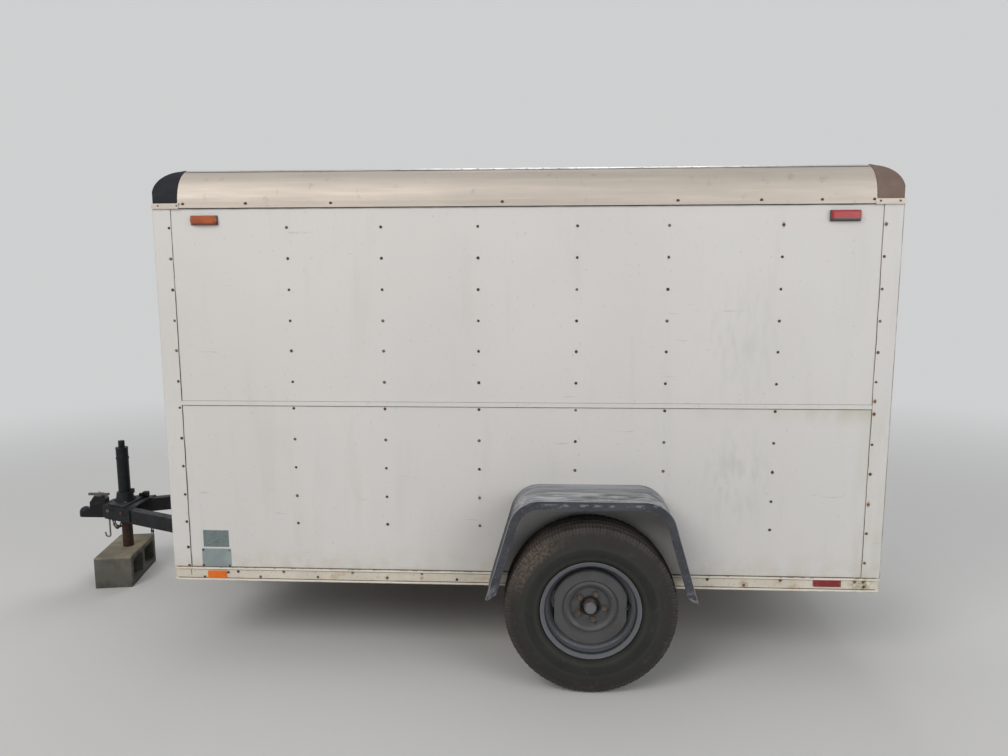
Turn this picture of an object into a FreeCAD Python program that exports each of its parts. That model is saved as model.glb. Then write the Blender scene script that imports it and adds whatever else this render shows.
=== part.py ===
# Enclosed single-axle utility trailer, standing on its jack
# Millimetres. +X runs from the coupler to the rear doors, -Y is the left side, +Z is up.
# The origin is on the ground, halfway along the whole length and on the centre line.

import FreeCAD, Part
import math
import os
import Sketcher

Vec = FreeCAD.Vector
doc = FreeCAD.newDocument("trailer")
sheet = doc.addObject("Spreadsheet::Sheet", "sizes")

# Driving dimensions: name, size
DRIVING = (
    # body
    ("body_length", 3100),
    ("body_width", 1830),
    ("wall_thick", 38),
    ("belt_height", 1162),
    ("cove_low", 2008),
    ("cove_strip", 20),
    ("cove_radius", 143),
    ("end_radius", 112),
    ("roof_thick", 25),
    ("cap_reach", 110),
    ("post_flange", 80),
    ("post_round", 10),
    ("sheet_lap", 2),
    ("belt_tall", 18),
    ("belt_proud", 5),
    ("lip_tall", 12),
    ("lip_proud", 7),
    ("strip_start", 1),
    ("strip_proud", 10),
    ("strip_lap", 8),
    ("strip_below", 9),
    ("strip_above", 13),
    # frame
    ("frame_low", 352),
    ("rail_tall", 76),
    ("rail_wide", 51),
    ("deck_thick", 18),
    ("deck_gap", 1),
    ("cross_pitch", 406),
    ("cross_flange", 38),
    ("cross_web", 5),
    ("trim_low", 366),
    ("trim_tall", 60),
    ("trim_web", 4),
    ("trim_bead", 8),
    ("trim_bead_tall", 9),
    ("trim_round", 24),
    ("trim_return", 62),
    ("trim_joint", 0.6),
    # tongue
    ("tongue_reach", 1011),
    ("tongue_apex", 900),
    ("tongue_slope", 0.435),
    ("tongue_nose_gap", 64),
    # coupler
    ("socket_low", 350),
    ("socket_bore", 25.7),
    ("socket_wall", 7),
    ("socket_skirt", 22),
    ("coupler_plate", 6),
    ("coupler_back", 262),
    ("coupler_cheek", 68),
    ("neck_rise", 12),
    ("nose_plate", 10),
    ("latch_tall", 59),
    ("latch_wide", 44),
    ("latch_heel", 12),
    ("latch_heel_tall", 21),
    ("latch_roof_front", 69),
    ("latch_roof_back", 44),
    ("latch_knob", 58),
    ("latch_front", 104),
    ("latch_body", 48),
    ("lever_long", 118),
    ("lever_thick", 12),
    ("lever_wide", 16),
    ("lever_up", 2),
    ("latch_pin_r", 8),
    # jack and what it stands on
    ("jack_back", 740),
    ("jack_tube_r", 32),
    ("jack_bore_r", 29),
    ("jack_low", 334),
    ("jack_high", 746),
    ("jack_cap_r", 33),
    ("jack_cap_tall", 9),
    ("jack_stub_r", 17),
    ("jack_stub_tall", 38),
    ("jack_leg_r", 28.4),
    ("jack_leg_high", 638),
    ("jack_bore_high", 735),
    ("jack_band_down", 58),
    ("jack_band_tall", 10),
    ("jack_band_out", 2.5),
    ("collar_low_r", 50),
    ("collar_high_r", 42),
    ("collar_tall", 54),
    ("ear_long", 55),
    ("ear_wide", 14),
    ("ear_tall", 25),
    ("ear_up", 17),
    ("jack_plate", 9),
    ("jack_plate_half", 62),
    ("jack_hole_gap", 0.5),
    ("block_wide", 194),
    ("block_long", 397),
    ("block_tall", 175),
    ("block_turn", 10),
    ("block_round", 6),
    ("block_back", 20),
    ("block_shell", 32),
    ("block_core_round", 16),
    # axle and springs
    ("wheel_back", 1851),
    ("tyre_radius", 360),
    ("tyre_width", 230),
    ("tyre_gap", 30),
    ("axle_drop", 102),
    ("axle_r", 25.4),
    ("axle_bend", 30),
    ("axle_bend_out", 10),
    ("spindle_r", 19),
    ("spindle_clear", 0.5),
    ("spring_half", 330),
    ("spring_rise", 68),
    ("leaf_thick", 7),
    ("leaf_wide", 44),
    ("eye_r", 16),
    ("spring_pin_r", 7),
    ("pin_clear", 0.4),
    ("hanger_plate", 6),
    ("hanger_half", 28),
    ("hanger_foot_r", 22),
    ("hanger_gap", 1),
    ("pin_past", 8),
    ("shackle_back", 42),
    ("shackle_drop", 15),
    ("shackle_end_r", 14),
    ("spring_plate_half", 55),
    ("spring_plate_past", 17),
    ("spring_plate", 8.2),
    ("u_bolt_r", 6),
    ("u_bolt_past", 14),
    ("u_bolt_out", 7),
    ("u_bolt_clear", 0.4),
    ("spring_seat", 0.3),
    # wheel
    ("rim_flange_r", 208),
    ("bead_r", 190),
    ("well_r", 166),
    ("rim_sheet", 4),
    ("rim_half", 91),
    ("disc_r", 156),
    ("disc_flat", 148),
    ("disc_set", 30),
    ("lug_circle", 57.15),
    ("lug_r", 12),
    ("lug_tall", 15),
    ("stud_r", 6),
    ("stud_past", 7),
    ("stud_clear", 0.6),
    ("hub_pilot_r", 42),
    ("hub_flange_r", 72),
    ("hub_in", 50),
    ("cap_r", 26),
    # fender
    ("fender_top", 826),
    ("fender_top_half", 304),
    ("fender_leg_half", 427),
    ("fender_low", 408),
    ("fender_round", 130),
    ("fender_deep", 260),
    ("fender_sheet", 3),
    ("fender_skirt", 33),
    ("fender_bead", 2.5),
    ("fender_bead_wide", 9),
    ("fender_bead_in", 5),
    ("foot_cut_start", 7),
    ("foot_cut_long", 60),
    ("foot_cut_tall", 44),
    # rear doors
    ("door_gap", 5),
    ("door_thick", 32),
    ("sill_tall", 22),
    ("header_tall", 72),
    ("pin_out", 13),
    ("hinge_pin_r", 4),
    ("hinge_barrel_r", 8),
    ("hinge_tall", 120),
    ("hinge_leaf", 4),
    ("hinge_leaf_wide", 40),
    ("keeper_half", 35),
    ("keeper_thick", 5),
    ("keeper_tall", 34),
    ("bar_r", 11),
    ("bar_out", 24),
    ("bar_in", 420),
    ("bar_short", 4),
    ("bar_foot_half", 24),
    ("bar_foot_tall", 44),
    ("bar_foot_in", 60),
    ("bar_foot_deep", 5),
    ("handle_out", 44),
    ("handle_reach", 210),
    ("handle_thick", 12),
    ("handle_tall", 28),
    # lamps and reflectors
    ("amber_back", 224),
    ("amber_down", 57),
    ("amber_long", 112),
    ("amber_tall", 35),
    ("amber_round", 15),
    ("red_back", 233),
    ("red_down", 53),
    ("red_long", 116),
    ("red_tall", 40),
    ("red_round", 9),
    ("lamp_out", 22),
    ("lamp_bevel", 6),
    ("reflector_out", 6),
    ("reflector_bevel", 1.5),
    ("reflector_round", 3),
    ("front_reflector_back", 198),
    ("front_reflector_up", 27),
    ("front_reflector_long", 84),
    ("front_reflector_tall", 34),
    ("rear_reflector_back", 224),
    ("rear_reflector_up", 36),
    ("rear_reflector_long", 116),
    ("rear_reflector_tall", 29),
    ("tail_in", 170),
    ("tail_up", 5),
    ("tail_long", 150),
    ("tail_tall", 50),
    ("tail_out", 18),
    ("tail_round", 9),
    # safety chain
    ("chain_wire_r", 3.5),
    ("chain_inner_long", 26),
    ("chain_inner_wide", 11),
    ("chain_slack", 2.4),
    ("chain_eye_r", 14),
    ("chain_back", 113),
    ("hook_back", 78),
    ("hook_wire_r", 4.5),
    ("hook_drop", 92),
    ("hook_bend", 13),
)


class Dim:
    """A size that keeps its number and the formula that it came from."""

    def __init__(self, value, text):
        self.value = float(value)
        self.text = text

    def __add__(self, other):
        other = dim(other)
        return Dim(self.value + other.value, "(%s + %s)" % (self.text, other.text))

    def __radd__(self, other):
        return dim(other) + self

    def __sub__(self, other):
        other = dim(other)
        return Dim(self.value - other.value, "(%s - %s)" % (self.text, other.text))

    def __rsub__(self, other):
        return dim(other) - self

    def __mul__(self, other):
        other = dim(other)
        return Dim(self.value * other.value, "(%s * %s)" % (self.text, other.text))

    __rmul__ = __mul__

    def __truediv__(self, other):
        other = dim(other)
        return Dim(self.value / other.value, "(%s / %s)" % (self.text, other.text))

    def __rtruediv__(self, other):
        return dim(other) / self

    def __neg__(self):
        return Dim(-self.value, "(0 - %s)" % self.text)


def dim(value):
    """A plain number as a Dim."""
    return value if isinstance(value, Dim) else Dim(value, repr(float(value)))


def root(value):
    """Square root of a Dim."""
    return Dim(math.sqrt(value.value), "sqrt(%s)" % value.text)


class Sizes:
    """The driving dimensions by name, as Dims bound to the sheet's cells."""

    def __init__(self, table):
        for row, (name, value) in enumerate(table, 1):
            sheet.set("A%d" % row, name)
            sheet.set("B%d" % row, str(value))
            sheet.setAlias("B%d" % row, name)
            setattr(self, name, Dim(value, "sizes." + name))


s = Sizes(DRIVING)
doc.recompute()


# Bound objects

def bind(obj, **formulas):
    """Set sizes of an object, or the x, y or z of its place, and bind them to the sheet."""
    for key, value in formulas.items():
        value = dim(value)
        if key in ("x", "y", "z"):
            obj.setExpression("Placement.Base." + key, value.text)
        else:
            setattr(obj, key, value.value)
            obj.setExpression(key, value.text)
    return obj


def place(obj, x=0, y=0, z=0, turn=None):
    """Place an object at bound coordinates, turned by a fixed rotation."""
    rotation = turn or FreeCAD.Rotation()
    spot = Vec(dim(x).value, dim(y).value, dim(z).value)
    obj.Placement = FreeCAD.Placement(spot, rotation)
    return bind(obj, x=x, y=y, z=z)


ALONG_X = FreeCAD.Rotation(Vec(0, 1, 0), 90)
ALONG_Y = FreeCAD.Rotation(Vec(1, 0, 0), -90)


def box(name, x, y, z):
    """A box from three pairs of low and high coordinates."""
    obj = doc.addObject("Part::Box", name)
    bind(obj, Length=x[1] - x[0], Width=y[1] - y[0], Height=z[1] - z[0])
    return place(obj, x[0], y[0], z[0])


def rod(name, centre, radius, length, turn=None):
    """A cylinder whose first end is centred on a point."""
    obj = doc.addObject("Part::Cylinder", name)
    bind(obj, Radius=radius, Height=length)
    return place(obj, *centre, turn=turn)


def ball(name, centre, radius):
    obj = doc.addObject("Part::Sphere", name)
    bind(obj, Radius=radius)
    return place(obj, *centre)


def fuse(name, parts):
    obj = doc.addObject("Part::MultiFuse", name)
    obj.Shapes = parts
    return obj


def cut(name, base, tool):
    obj = doc.addObject("Part::Cut", name)
    obj.Base = base
    obj.Tool = tool
    return obj


def common(name, parts):
    obj = doc.addObject("Part::MultiCommon", name)
    obj.Shapes = parts
    return obj


def group(name, parts):
    """Like pieces of one node, as solids that don't touch."""
    obj = doc.addObject("Part::Compound", name)
    obj.Links = parts
    return obj


def plane_of(body, role):
    return next(f for f in body.Origin.OriginFeatures if f.Role == role)


def sketch_on(body, name, role, offset=0):
    sketch = body.newObject("Sketcher::SketchObject", name)
    sketch.AttachmentSupport = [(plane_of(body, role), "")]
    sketch.MapMode = "FlatFace"
    sketch.AttachmentOffset = FreeCAD.Placement(Vec(0, 0, dim(offset).value), FreeCAD.Rotation())
    sketch.setExpression("AttachmentOffset.Base.z", dim(offset).text)
    return sketch


def outline(sketch, points):
    """A closed outline of straight runs whose corners are bound to the sheet."""
    corners = [(dim(u), dim(v)) for u, v in points]
    first = sketch.GeometryCount
    count = len(corners)
    for i, (u, v) in enumerate(corners):
        nu, nv = corners[(i + 1) % count]
        sketch.addGeometry(Part.LineSegment(Vec(u.value, v.value, 0), Vec(nu.value, nv.value, 0)))
    for i in range(count):
        sketch.addConstraint(Sketcher.Constraint("Coincident", first + i, 2, first + (i + 1) % count, 1))
    for i, (u, v) in enumerate(corners):
        for kind, size in (("DistanceX", u), ("DistanceY", v)):
            index = sketch.addConstraint(Sketcher.Constraint(kind, -1, 1, first + i, 1, size.value))
            sketch.setExpression("Constraints[%d]" % index, size.text)
    return sketch


FLAT_AXES = {"XY_Plane": ("x", "y"), "XZ_Plane": ("x", "z"), "YZ_Plane": ("y", "z")}


def prism(name, role, points, low, high, rounds=()):
    """A body padded from an outline, between two heights over one of its planes.

    Rounds are pairs of a corner's number in the outline and its radius.
    """
    low, high = dim(low), dim(high)
    body = doc.addObject("PartDesign::Body", name)
    # the XZ plane looks to -Y, so its offsets run the other way
    start = -high if role == "XZ_Plane" else low
    sketch = outline(sketch_on(body, name + "_sketch", role, start), points)
    pad = body.newObject("PartDesign::Pad", name + "_pad")
    pad.Profile = sketch
    bind(pad, Length=high - low)
    if rounds:
        doc.recompute()
    last = pad
    for count, (corner, radius) in enumerate(rounds):
        u, v = (dim(c).value for c in points[corner])
        first, second = FLAT_AXES[role]
        edges = ["Edge%d" % i for i, edge in enumerate(last.Shape.Edges, 1)
                 if all(abs(getattr(p.Point, first) - u) + abs(getattr(p.Point, second) - v) < 0.01
                        for p in edge.Vertexes)]
        blend = body.newObject("PartDesign::Fillet", "%s_round%d" % (name, count))
        blend.Base = (last, edges)
        bind(blend, Radius=radius)
        doc.recompute()
        last = blend
    return body


def bevelled(body, axis, level, size):
    """Chamfer the edges round one end of a prism."""
    doc.recompute()
    last = body.Tip
    edges = ["Edge%d" % i for i, edge in enumerate(last.Shape.Edges, 1)
             if all(abs(getattr(p.Point, axis) - level.value) < 0.01 for p in edge.Vertexes)]
    bevel = body.newObject("PartDesign::Chamfer", body.Name + "_bevel")
    bevel.Base = (last, edges)
    bind(bevel, Size=size)
    doc.recompute()
    return body


def cone(name, centre, low_radius, high_radius, height):
    obj = doc.addObject("Part::Cone", name)
    bind(obj, Radius1=low_radius, Radius2=high_radius, Height=height)
    return place(obj, *centre)


def hexagon(name, centre, radius, length, turn):
    obj = doc.addObject("Part::Prism", name)
    obj.Polygon = 6
    bind(obj, Circumradius=radius, Height=length)
    return place(obj, *centre, turn=turn)


def turned(name, points, centre, outward):
    """A body revolved about an axis along Y. Points are (way out from the centre, radius)."""
    body = doc.addObject("PartDesign::Body", name)
    sketch = outline(sketch_on(body, name + "_sketch", "XY_Plane"), [(r, outward * dim(a)) for a, r in points])
    spin = body.newObject("PartDesign::Revolution", name + "_turn")
    spin.Profile = sketch
    spin.ReferenceAxis = (sketch, ["V_Axis"])
    spin.Angle = 360
    place(body, *centre)
    return body


nodes = []


def keep(obj, label):
    """Name a finished sub-part after its node."""
    obj.Label = label
    nodes.append(obj)
    return obj


# Places worked out from the driving dimensions

rear_reach = s.handle_out
overall = s.tongue_reach + s.body_length + rear_reach
nose_x = -overall / 2
front_x = nose_x + s.tongue_reach
rear_x = front_x + s.body_length
half = s.body_width / 2
inner = half - s.wall_thick
frame_top = s.frame_low + s.rail_tall
deck_top = frame_top + s.deck_thick
frame_inner = half - s.rail_wide
trim_top = s.trim_low + s.trim_tall
roof_base = s.cove_low + s.cove_strip
roof_top = roof_base + s.cove_radius
wheel_x = front_x + s.wheel_back
SIDES = (("left", -1), ("right", 1))


def across(side, a, b):
    """A pair of coordinates across the body, mirrored for the left side."""
    a, b = dim(a), dim(b)
    return (a, b) if side > 0 else (-b, -a)


# Frame

def frame_rails():
    for label, side in SIDES:
        points = [(front_x, side * frame_inner), (rear_x, side * frame_inner), (rear_x, side * half),
                  (front_x, side * half)]
        rail = prism("rail_" + label, "XY_Plane", points, s.trim_low, frame_top,
                     [(2, s.trim_round), (3, s.trim_round)])
        keep(rail, "frame_rail_" + label)


apex_x = front_x - s.tongue_apex
tongue_half = s.rail_wide / 2 * root(1 + s.tongue_slope * s.tongue_slope)


def tongue_outline(side, extra=0):
    """Plan of one tongue rail, from its cut nose to the main rail."""
    start = apex_x + s.tongue_nose_gap
    width = tongue_half + extra
    middle = (start - apex_x) * s.tongue_slope
    return [
        (start, side * (middle - width)),
        (start, side * (middle + width)),
        (apex_x + (frame_inner - width) / s.tongue_slope, side * frame_inner),
        (apex_x + (frame_inner + width) / s.tongue_slope, side * frame_inner),
    ]


def tongue_rails():
    rails = []
    for label, side in SIDES:
        rail = prism("tongue_" + label, "XY_Plane", tongue_outline(side), s.frame_low, frame_top)
        rails.append(keep(rail, "tongue_rail_" + label))
    return rails


def cross_members(rails):
    """Channels between the main rails, let in round the tongue rails, with a header and a sill tube."""
    ends = (-frame_inner, frame_inner)
    tall = (s.trim_low, frame_top)
    members = [box("header", (front_x, front_x + s.rail_wide), ends, tall)]
    members.append(box("sill_tube", (rear_x - s.rail_wide, rear_x), ends, tall))
    hollow = (s.trim_low + s.cross_web, frame_top - s.cross_web)
    for i in range(1, 7):
        x = front_x + s.cross_pitch * i
        outer = box("channel%d" % i, (x, x + s.cross_flange), ends, tall)
        inside = box("channel%d_inside" % i, (x + s.cross_web, x + s.cross_flange + 1), ends, hollow)
        members.append(cut("channel%d_cut" % i, outer, inside))
    whole = group("members", members)
    both = fuse("tongue_both", rails)
    keep(cut("cross_members", whole, both), "cross_members")
    return both


def deck():
    lap = inner - s.deck_gap
    start = front_x + s.wall_thick + s.deck_gap
    end = rear_x - s.wall_thick - s.deck_gap
    keep(box("deck", (start, end), (-lap, lap), (frame_top, deck_top)), "floor_deck")


# Body walls

wall_x = (front_x + s.post_flange, rear_x - s.post_flange)
lower_z = (frame_top, s.belt_height)
upper_z = (s.belt_height, s.cove_low)


def walls():
    for label, side in SIDES:
        y = across(side, inner, half)
        keep(box("wall_low_" + label, wall_x, y, lower_z), "side_wall_lower_" + label)
        keep(box("wall_high_" + label, wall_x, y, upper_z), "side_wall_upper_" + label)
    x = (front_x, front_x + s.wall_thick)
    y = (s.post_flange - half, half - s.post_flange)
    keep(box("front_low", x, y, lower_z), "front_wall_lower")
    keep(box("front_high", x, y, upper_z), "front_wall_upper")


def corner_post(name, end, side):
    """One rounded corner post, an angle as thick as the walls, lapping their sheets a little."""
    out_x = front_x - s.sheet_lap if end < 0 else rear_x + s.sheet_lap
    in_x = wall_x[0] if end < 0 else wall_x[1]
    out_y = half + s.sheet_lap
    in_y = half - s.post_flange
    thick = s.wall_thick + s.sheet_lap
    points = [
        (out_x, side * out_y),
        (in_x, side * out_y),
        (in_x, side * (out_y - thick)),
        (out_x - end * thick, side * (out_y - thick)),
        (out_x - end * thick, side * in_y),
        (out_x, side * in_y),
    ]
    return prism(name, "XY_Plane", points, frame_top, s.cove_low, [(0, s.post_round)])


# Roof

def dome(name, grow):
    """A block with quarter-round upper edges along both sides and both ends, inset by a wall."""
    low = s.cove_low - (1 if grow.value else 0)
    middle = (front_x + rear_x) / 2
    x = (front_x + grow, rear_x - grow)
    y = (grow - half, half - grow)
    side = s.cove_radius - grow
    flat = y[1] - side
    sides = [box(name + "_core_x", x, (-flat, flat), (low, roof_base + side)),
             box(name + "_flank_x", x, y, (low, roof_base))]
    end = s.end_radius - grow
    end_base = roof_top - s.end_radius
    reach = s.body_length / 2 - s.end_radius
    ends = [box(name + "_core_y", (middle - reach, middle + reach), y, (low, end_base + end)),
            box(name + "_flank_y", x, y, (low, end_base))]
    for i, way in enumerate((-1, 1)):
        sides.append(rod(name + "_roll_x%d" % i, (x[0], way * flat, roof_base), side,
                         s.body_length - 2 * grow, ALONG_X))
        ends.append(rod(name + "_roll_y%d" % i, (middle + way * reach, y[0], end_base), end,
                        2 * (half - grow), ALONG_Y))
    return common(name, [fuse(name + "_x", sides), fuse(name + "_y", ends)])


def cap_plan():
    """The body's plan with corners rounded like the posts, over the height of the roof."""
    corners = [(front_x, -half), (rear_x, -half), (rear_x, half), (front_x, half)]
    return prism("cap_plan", "XY_Plane", corners, s.cove_low - 1, roof_top + 1,
                 [(i, s.post_round) for i in range(4)])


def cap_strips(label, side, between_x):
    """The short strips under the two caps of one side, notched round the posts' laps."""
    strips = []
    ends = ((front_x + s.strip_start, between_x[0] + s.strip_lap),
            (between_x[1] - s.strip_lap, rear_x - s.strip_start))
    posts = ((front_x, wall_x[0]), (wall_x[1], rear_x))
    for i, (x, post) in enumerate(zip(ends, posts)):
        strip = box("strip_%s%d" % (label, i), x, across(side, half, half + s.strip_proud),
                    (s.cove_low - s.strip_below, s.cove_low + s.strip_above))
        lap = box("strip_lap_%s%d" % (label, i), post, across(side, half - 1, half + s.sheet_lap),
                  (s.cove_low - s.strip_below - 1, s.cove_low))
        strips.append(cut("strip_cut_%s%d" % (label, i), strip, lap))
    return strips


def roof():
    shell = cut("roof_shell", dome("roof_outer", dim(0)), dome("roof_inner", s.roof_thick))
    z = (s.cove_low, roof_top + 1)
    cap_x = ((front_x - 1, front_x + s.cap_reach), (rear_x - s.cap_reach, rear_x + 1))
    cove_x = ((front_x - 1, front_x + s.end_radius), (rear_x - s.end_radius, rear_x + 1))
    cap_y = [across(side, half - s.cap_reach, half + 1) for _, side in SIDES]
    cove_y = [across(side, half - s.cove_radius, half + 1) for _, side in SIDES]
    corners = common("cap_corners", [shell, cap_plan()])
    caps = [common("cap_%d%d" % (i, j), [corners, box("cap_box_%d%d" % (i, j), x, y, z)])
            for i, x in enumerate(cap_x) for j, y in enumerate(cap_y)]
    keep(group("caps", caps), "corner_caps")
    between_x = (front_x + s.cap_reach, rear_x - s.cap_reach)
    between_y = (s.cap_reach - half, half - s.cap_reach)
    lip_z = (s.cove_low - s.lip_tall / 2, s.cove_low + s.lip_tall / 2)
    sides = []
    for (label, side), y in zip(SIDES, cove_y):
        cove = common("cove_" + label, [shell, box("cove_box_" + label, between_x, y, z)])
        lip = box("cove_lip_" + label, between_x, across(side, half, half + s.lip_proud), lip_z)
        sides.append(fuse("cove_whole_" + label, [cove, lip] + cap_strips(label, side, between_x)))
    keep(group("side_cove_pair", sides), "side_coves")
    inner_y = (s.cove_radius - half, half - s.cove_radius)
    ends = []
    for label, x, lip_x in (("front", cove_x[0], (front_x - s.lip_proud, front_x)),
                            ("rear", cove_x[1], (rear_x, rear_x + s.lip_proud))):
        whole = common("end_cove_" + label, [shell, box("end_box_" + label, x, between_y, z)])
        sides_cut = group("end_sides_" + label, [box("end_side_%s%d" % (label, i), between_x, y, z)
                                                for i, y in enumerate(cove_y)])
        lip = box("end_lip_" + label, lip_x, between_y, lip_z)
        ends.append(fuse("end_cove_whole_" + label, [cut("end_cove_cut_" + label, whole, sides_cut), lip]))
    keep(group("end_cove_pair", ends), "end_coves")
    panel_x = (front_x + s.end_radius, rear_x - s.end_radius)
    keep(common("roof_sheet", [shell, box("roof_box", panel_x, inner_y, z)]), "roof_panel")


# Trims on the body

def belt_trims():
    z = (s.belt_height, s.belt_height + s.belt_tall)
    trims = []
    for label, side in SIDES:
        trims.append(box("belt_" + label, wall_x, across(side, half, half + s.belt_proud), z))
    y = (s.post_flange - half, half - s.post_flange)
    trims.append(box("belt_front", (front_x - s.belt_proud, front_x), y, z))
    keep(group("belts", trims), "belt_trims")


def body_plan(name, grow, low, high):
    """The body's plan with its four corners rounded, grown outwards, between two heights."""
    x = (front_x - grow, rear_x + grow)
    y = half + grow
    points = [(x[0], -y), (x[1], -y), (x[1], y), (x[0], y)]
    return prism(name, "XY_Plane", points, low, high, [(i, s.trim_round + grow) for i in range(4)])


def bottom_rails(rails):
    """The extruded rail wrapped round the foot of the body: a web with a bead above and a lip below."""
    layers = (
        ("lip", s.trim_bead, s.trim_low, s.trim_low + s.trim_bead_tall),
        ("web", s.trim_web, s.trim_low, trim_top),
        ("bead", s.trim_bead, trim_top - s.trim_bead_tall, trim_top),
    )
    ring = fuse("trim_layers", [body_plan("trim_" + label, *layer) for label, *layer in layers])
    within = body_plan("trim_within", dim(0), s.trim_low - 1, trim_top + 1)
    tall = (s.trim_low - 2, trim_top + 2)
    joints = []
    for label, x in (("front", (front_x - 20, front_x + 1)), ("rear", (rear_x - 1, rear_x + 20))):
        for side_label, side in SIDES:
            y = side * (half - s.trim_return)
            joints.append(box("trim_joint_%s_%s" % (label, side_label), x,
                              (y - s.trim_joint / 2, y + s.trim_joint / 2), tall))
    keep(cut("bottom_trims", ring, fuse("trim_void", [within, rails] + joints)), "bottom_rails")


# Rear frame, doors, hinges and lock bars

door_open = half - s.post_flange
hinge_y = door_open - s.door_gap / 2
hinge_x = rear_x + s.pin_out
door_z = (deck_top + s.sill_tall + s.door_gap, s.cove_low - s.header_tall - s.door_gap)


def rear_frame():
    x = (rear_x - s.wall_thick, rear_x)
    y = (-door_open, door_open)
    sill_top = deck_top + s.sill_tall
    header_low = s.cove_low - s.header_tall
    low = [box("door_sill", x, y, (frame_top, sill_top))]
    high = [box("door_header", x, y, (header_low, s.cove_low))]
    keeper_x = (rear_x, rear_x + s.keeper_thick)
    for label, side in SIDES:
        span = (side * s.bar_in - s.keeper_half, side * s.bar_in + s.keeper_half)
        low.append(box("keeper_low_" + label, keeper_x, span, (deck_top, sill_top)))
        high.append(box("keeper_high_" + label, keeper_x, span, (header_low, header_low + s.keeper_tall)))
    keep(group("rear_frame_pair", [fuse("sill_whole", low), fuse("header_whole", high)]), "rear_frame")


def hinge_heights():
    low, high = door_z
    reach = high - low
    return [low + reach * share for share in (0.1, 0.5, 0.9)]


def hinge_leaf(name, side, z, outer):
    """A hinge leaf on the post (outer) or on the door, with its knuckles."""
    third = s.hinge_tall / 3
    knuckles = []
    spans = ((-1.5, -0.5), (0.5, 1.5)) if outer else ((-0.5, 0.5),)
    trim = s.pin_clear
    for i, (a, b) in enumerate(spans):
        low = z + third * a + (0 if outer else trim)
        tall = third * (b - a) - (0 if outer else 2 * trim)
        barrel = rod("%s_barrel%d" % (name, i), (hinge_x, side * hinge_y, low), s.hinge_barrel_r, tall)
        leaf_in = side * (hinge_y + (s.hinge_leaf_wide if outer else -s.hinge_leaf_wide))
        ys = sorted((side * hinge_y, leaf_in), key=lambda d: d.value)
        base = rear_x + (s.sheet_lap if outer else 0)
        leaf = box("%s_leaf%d" % (name, i), (base, hinge_x), (ys[0], ys[1]), (low, low + tall))
        back = box("%s_relief%d" % (name, i), (base + s.hinge_leaf, hinge_x + 1),
                   sorted((side * (hinge_y + (1 if outer else -1) * (s.hinge_barrel_r * 0.8)), leaf_in),
                          key=lambda d: d.value), (low - 1, low + tall + 1))
        knuckles += [barrel, cut("%s_strap%d" % (name, i), leaf, back)]
    pin = None
    if outer:
        pin = rod(name + "_pin", (hinge_x, side * hinge_y, z - third * 1.5), s.hinge_pin_r, s.hinge_tall)
    bore = rod(name + "_bore", (hinge_x, side * hinge_y, z - third), s.hinge_pin_r + s.pin_clear, 2 * third)
    return knuckles, pin, bore


def rear_posts():
    posts = []
    for label, side in SIDES:
        parts = [corner_post("post_rear_" + label, 1, side)]
        for i, z in enumerate(hinge_heights()):
            knuckles, pin, _ = hinge_leaf("post_hinge_%s%d" % (label, i), side, z, True)
            parts += knuckles + [pin]
        posts.append(fuse("post_rear_whole_" + label, parts))
    keep(group("rear_post_pair", posts), "corner_posts_rear")
    fronts = [corner_post("post_front_" + label, -1, side) for label, side in SIDES]
    keep(group("front_post_pair", fronts), "corner_posts_front")


def doors():
    for label, side in SIDES:
        inside = s.door_gap / 2
        outside = door_open - s.door_gap
        slab = box("door_slab_" + label, (rear_x - s.door_thick, rear_x), across(side, inside, outside), door_z)
        parts = [slab]
        bores = []
        for i, z in enumerate(hinge_heights()):
            knuckles, _, bore = hinge_leaf("door_hinge_%s%d" % (label, i), side, z, False)
            parts += knuckles
            bores.append(bore)
        whole = fuse("door_whole_" + label, parts)
        keep(cut("door_cut_" + label, whole, group("door_bores_" + label, bores)), "rear_door_" + label)


def lock_bars():
    """One upright bar on each door, in three brackets, with a swing handle laid over to the side."""
    low, high = door_z
    reach = high - low
    x = rear_x + s.bar_out
    handle_z = low + reach * 0.355
    feet = (low + s.bar_foot_in, low + reach * 0.44, high - s.bar_foot_in)
    outer_x = rear_x + s.handle_out
    for label, side in SIDES:
        y = side * s.bar_in
        parts = [rod("bar_" + label, (x, y, low + s.bar_short), s.bar_r, reach - 2 * s.bar_short)]
        for i, z in enumerate(feet):
            parts.append(box("bar_foot_%s%d" % (label, i), (rear_x, x + s.bar_foot_deep),
                             (y - s.bar_foot_half, y + s.bar_foot_half),
                             (z - s.bar_foot_tall / 2, z + s.bar_foot_tall / 2)))
        grip = sorted((y + side * s.bar_r, y - side * s.handle_reach), key=lambda d: d.value)
        parts.append(box("handle_" + label, (outer_x - s.handle_thick, outer_x), tuple(grip),
                         (handle_z - s.handle_tall / 2, handle_z + s.handle_tall / 2)))
        parts.append(box("handle_root_" + label, (x - s.bar_foot_deep, outer_x - 1),
                         (y - s.handle_tall / 2, y + s.handle_tall / 2),
                         (handle_z - s.bar_foot_tall / 2, handle_z + s.bar_foot_tall / 2)))
        keep(fuse("lock_" + label, parts), "lock_bar_" + label)


# Fenders

def fender_points(inset, low):
    """Corners of the fender's outline in its side view, inset along its sheet."""
    lean = (s.fender_leg_half - s.fender_top_half) / (s.fender_top - s.fender_low)
    slope = root(1 + lean * lean)
    top = s.fender_top - inset
    corner = s.fender_top_half - inset * (slope - lean)
    foot = corner + (top - low) * lean
    return [(wheel_x - foot, low), (wheel_x - corner, top), (wheel_x + corner, top), (wheel_x + foot, low)]


def fender_form(name, inset, low, y):
    """A solid under the fender's outline, with its two upper corners rounded."""
    radius = s.fender_round - inset
    return prism(name, "XZ_Plane", fender_points(inset, low), y[0], y[1], [(1, radius), (2, radius)])


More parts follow.
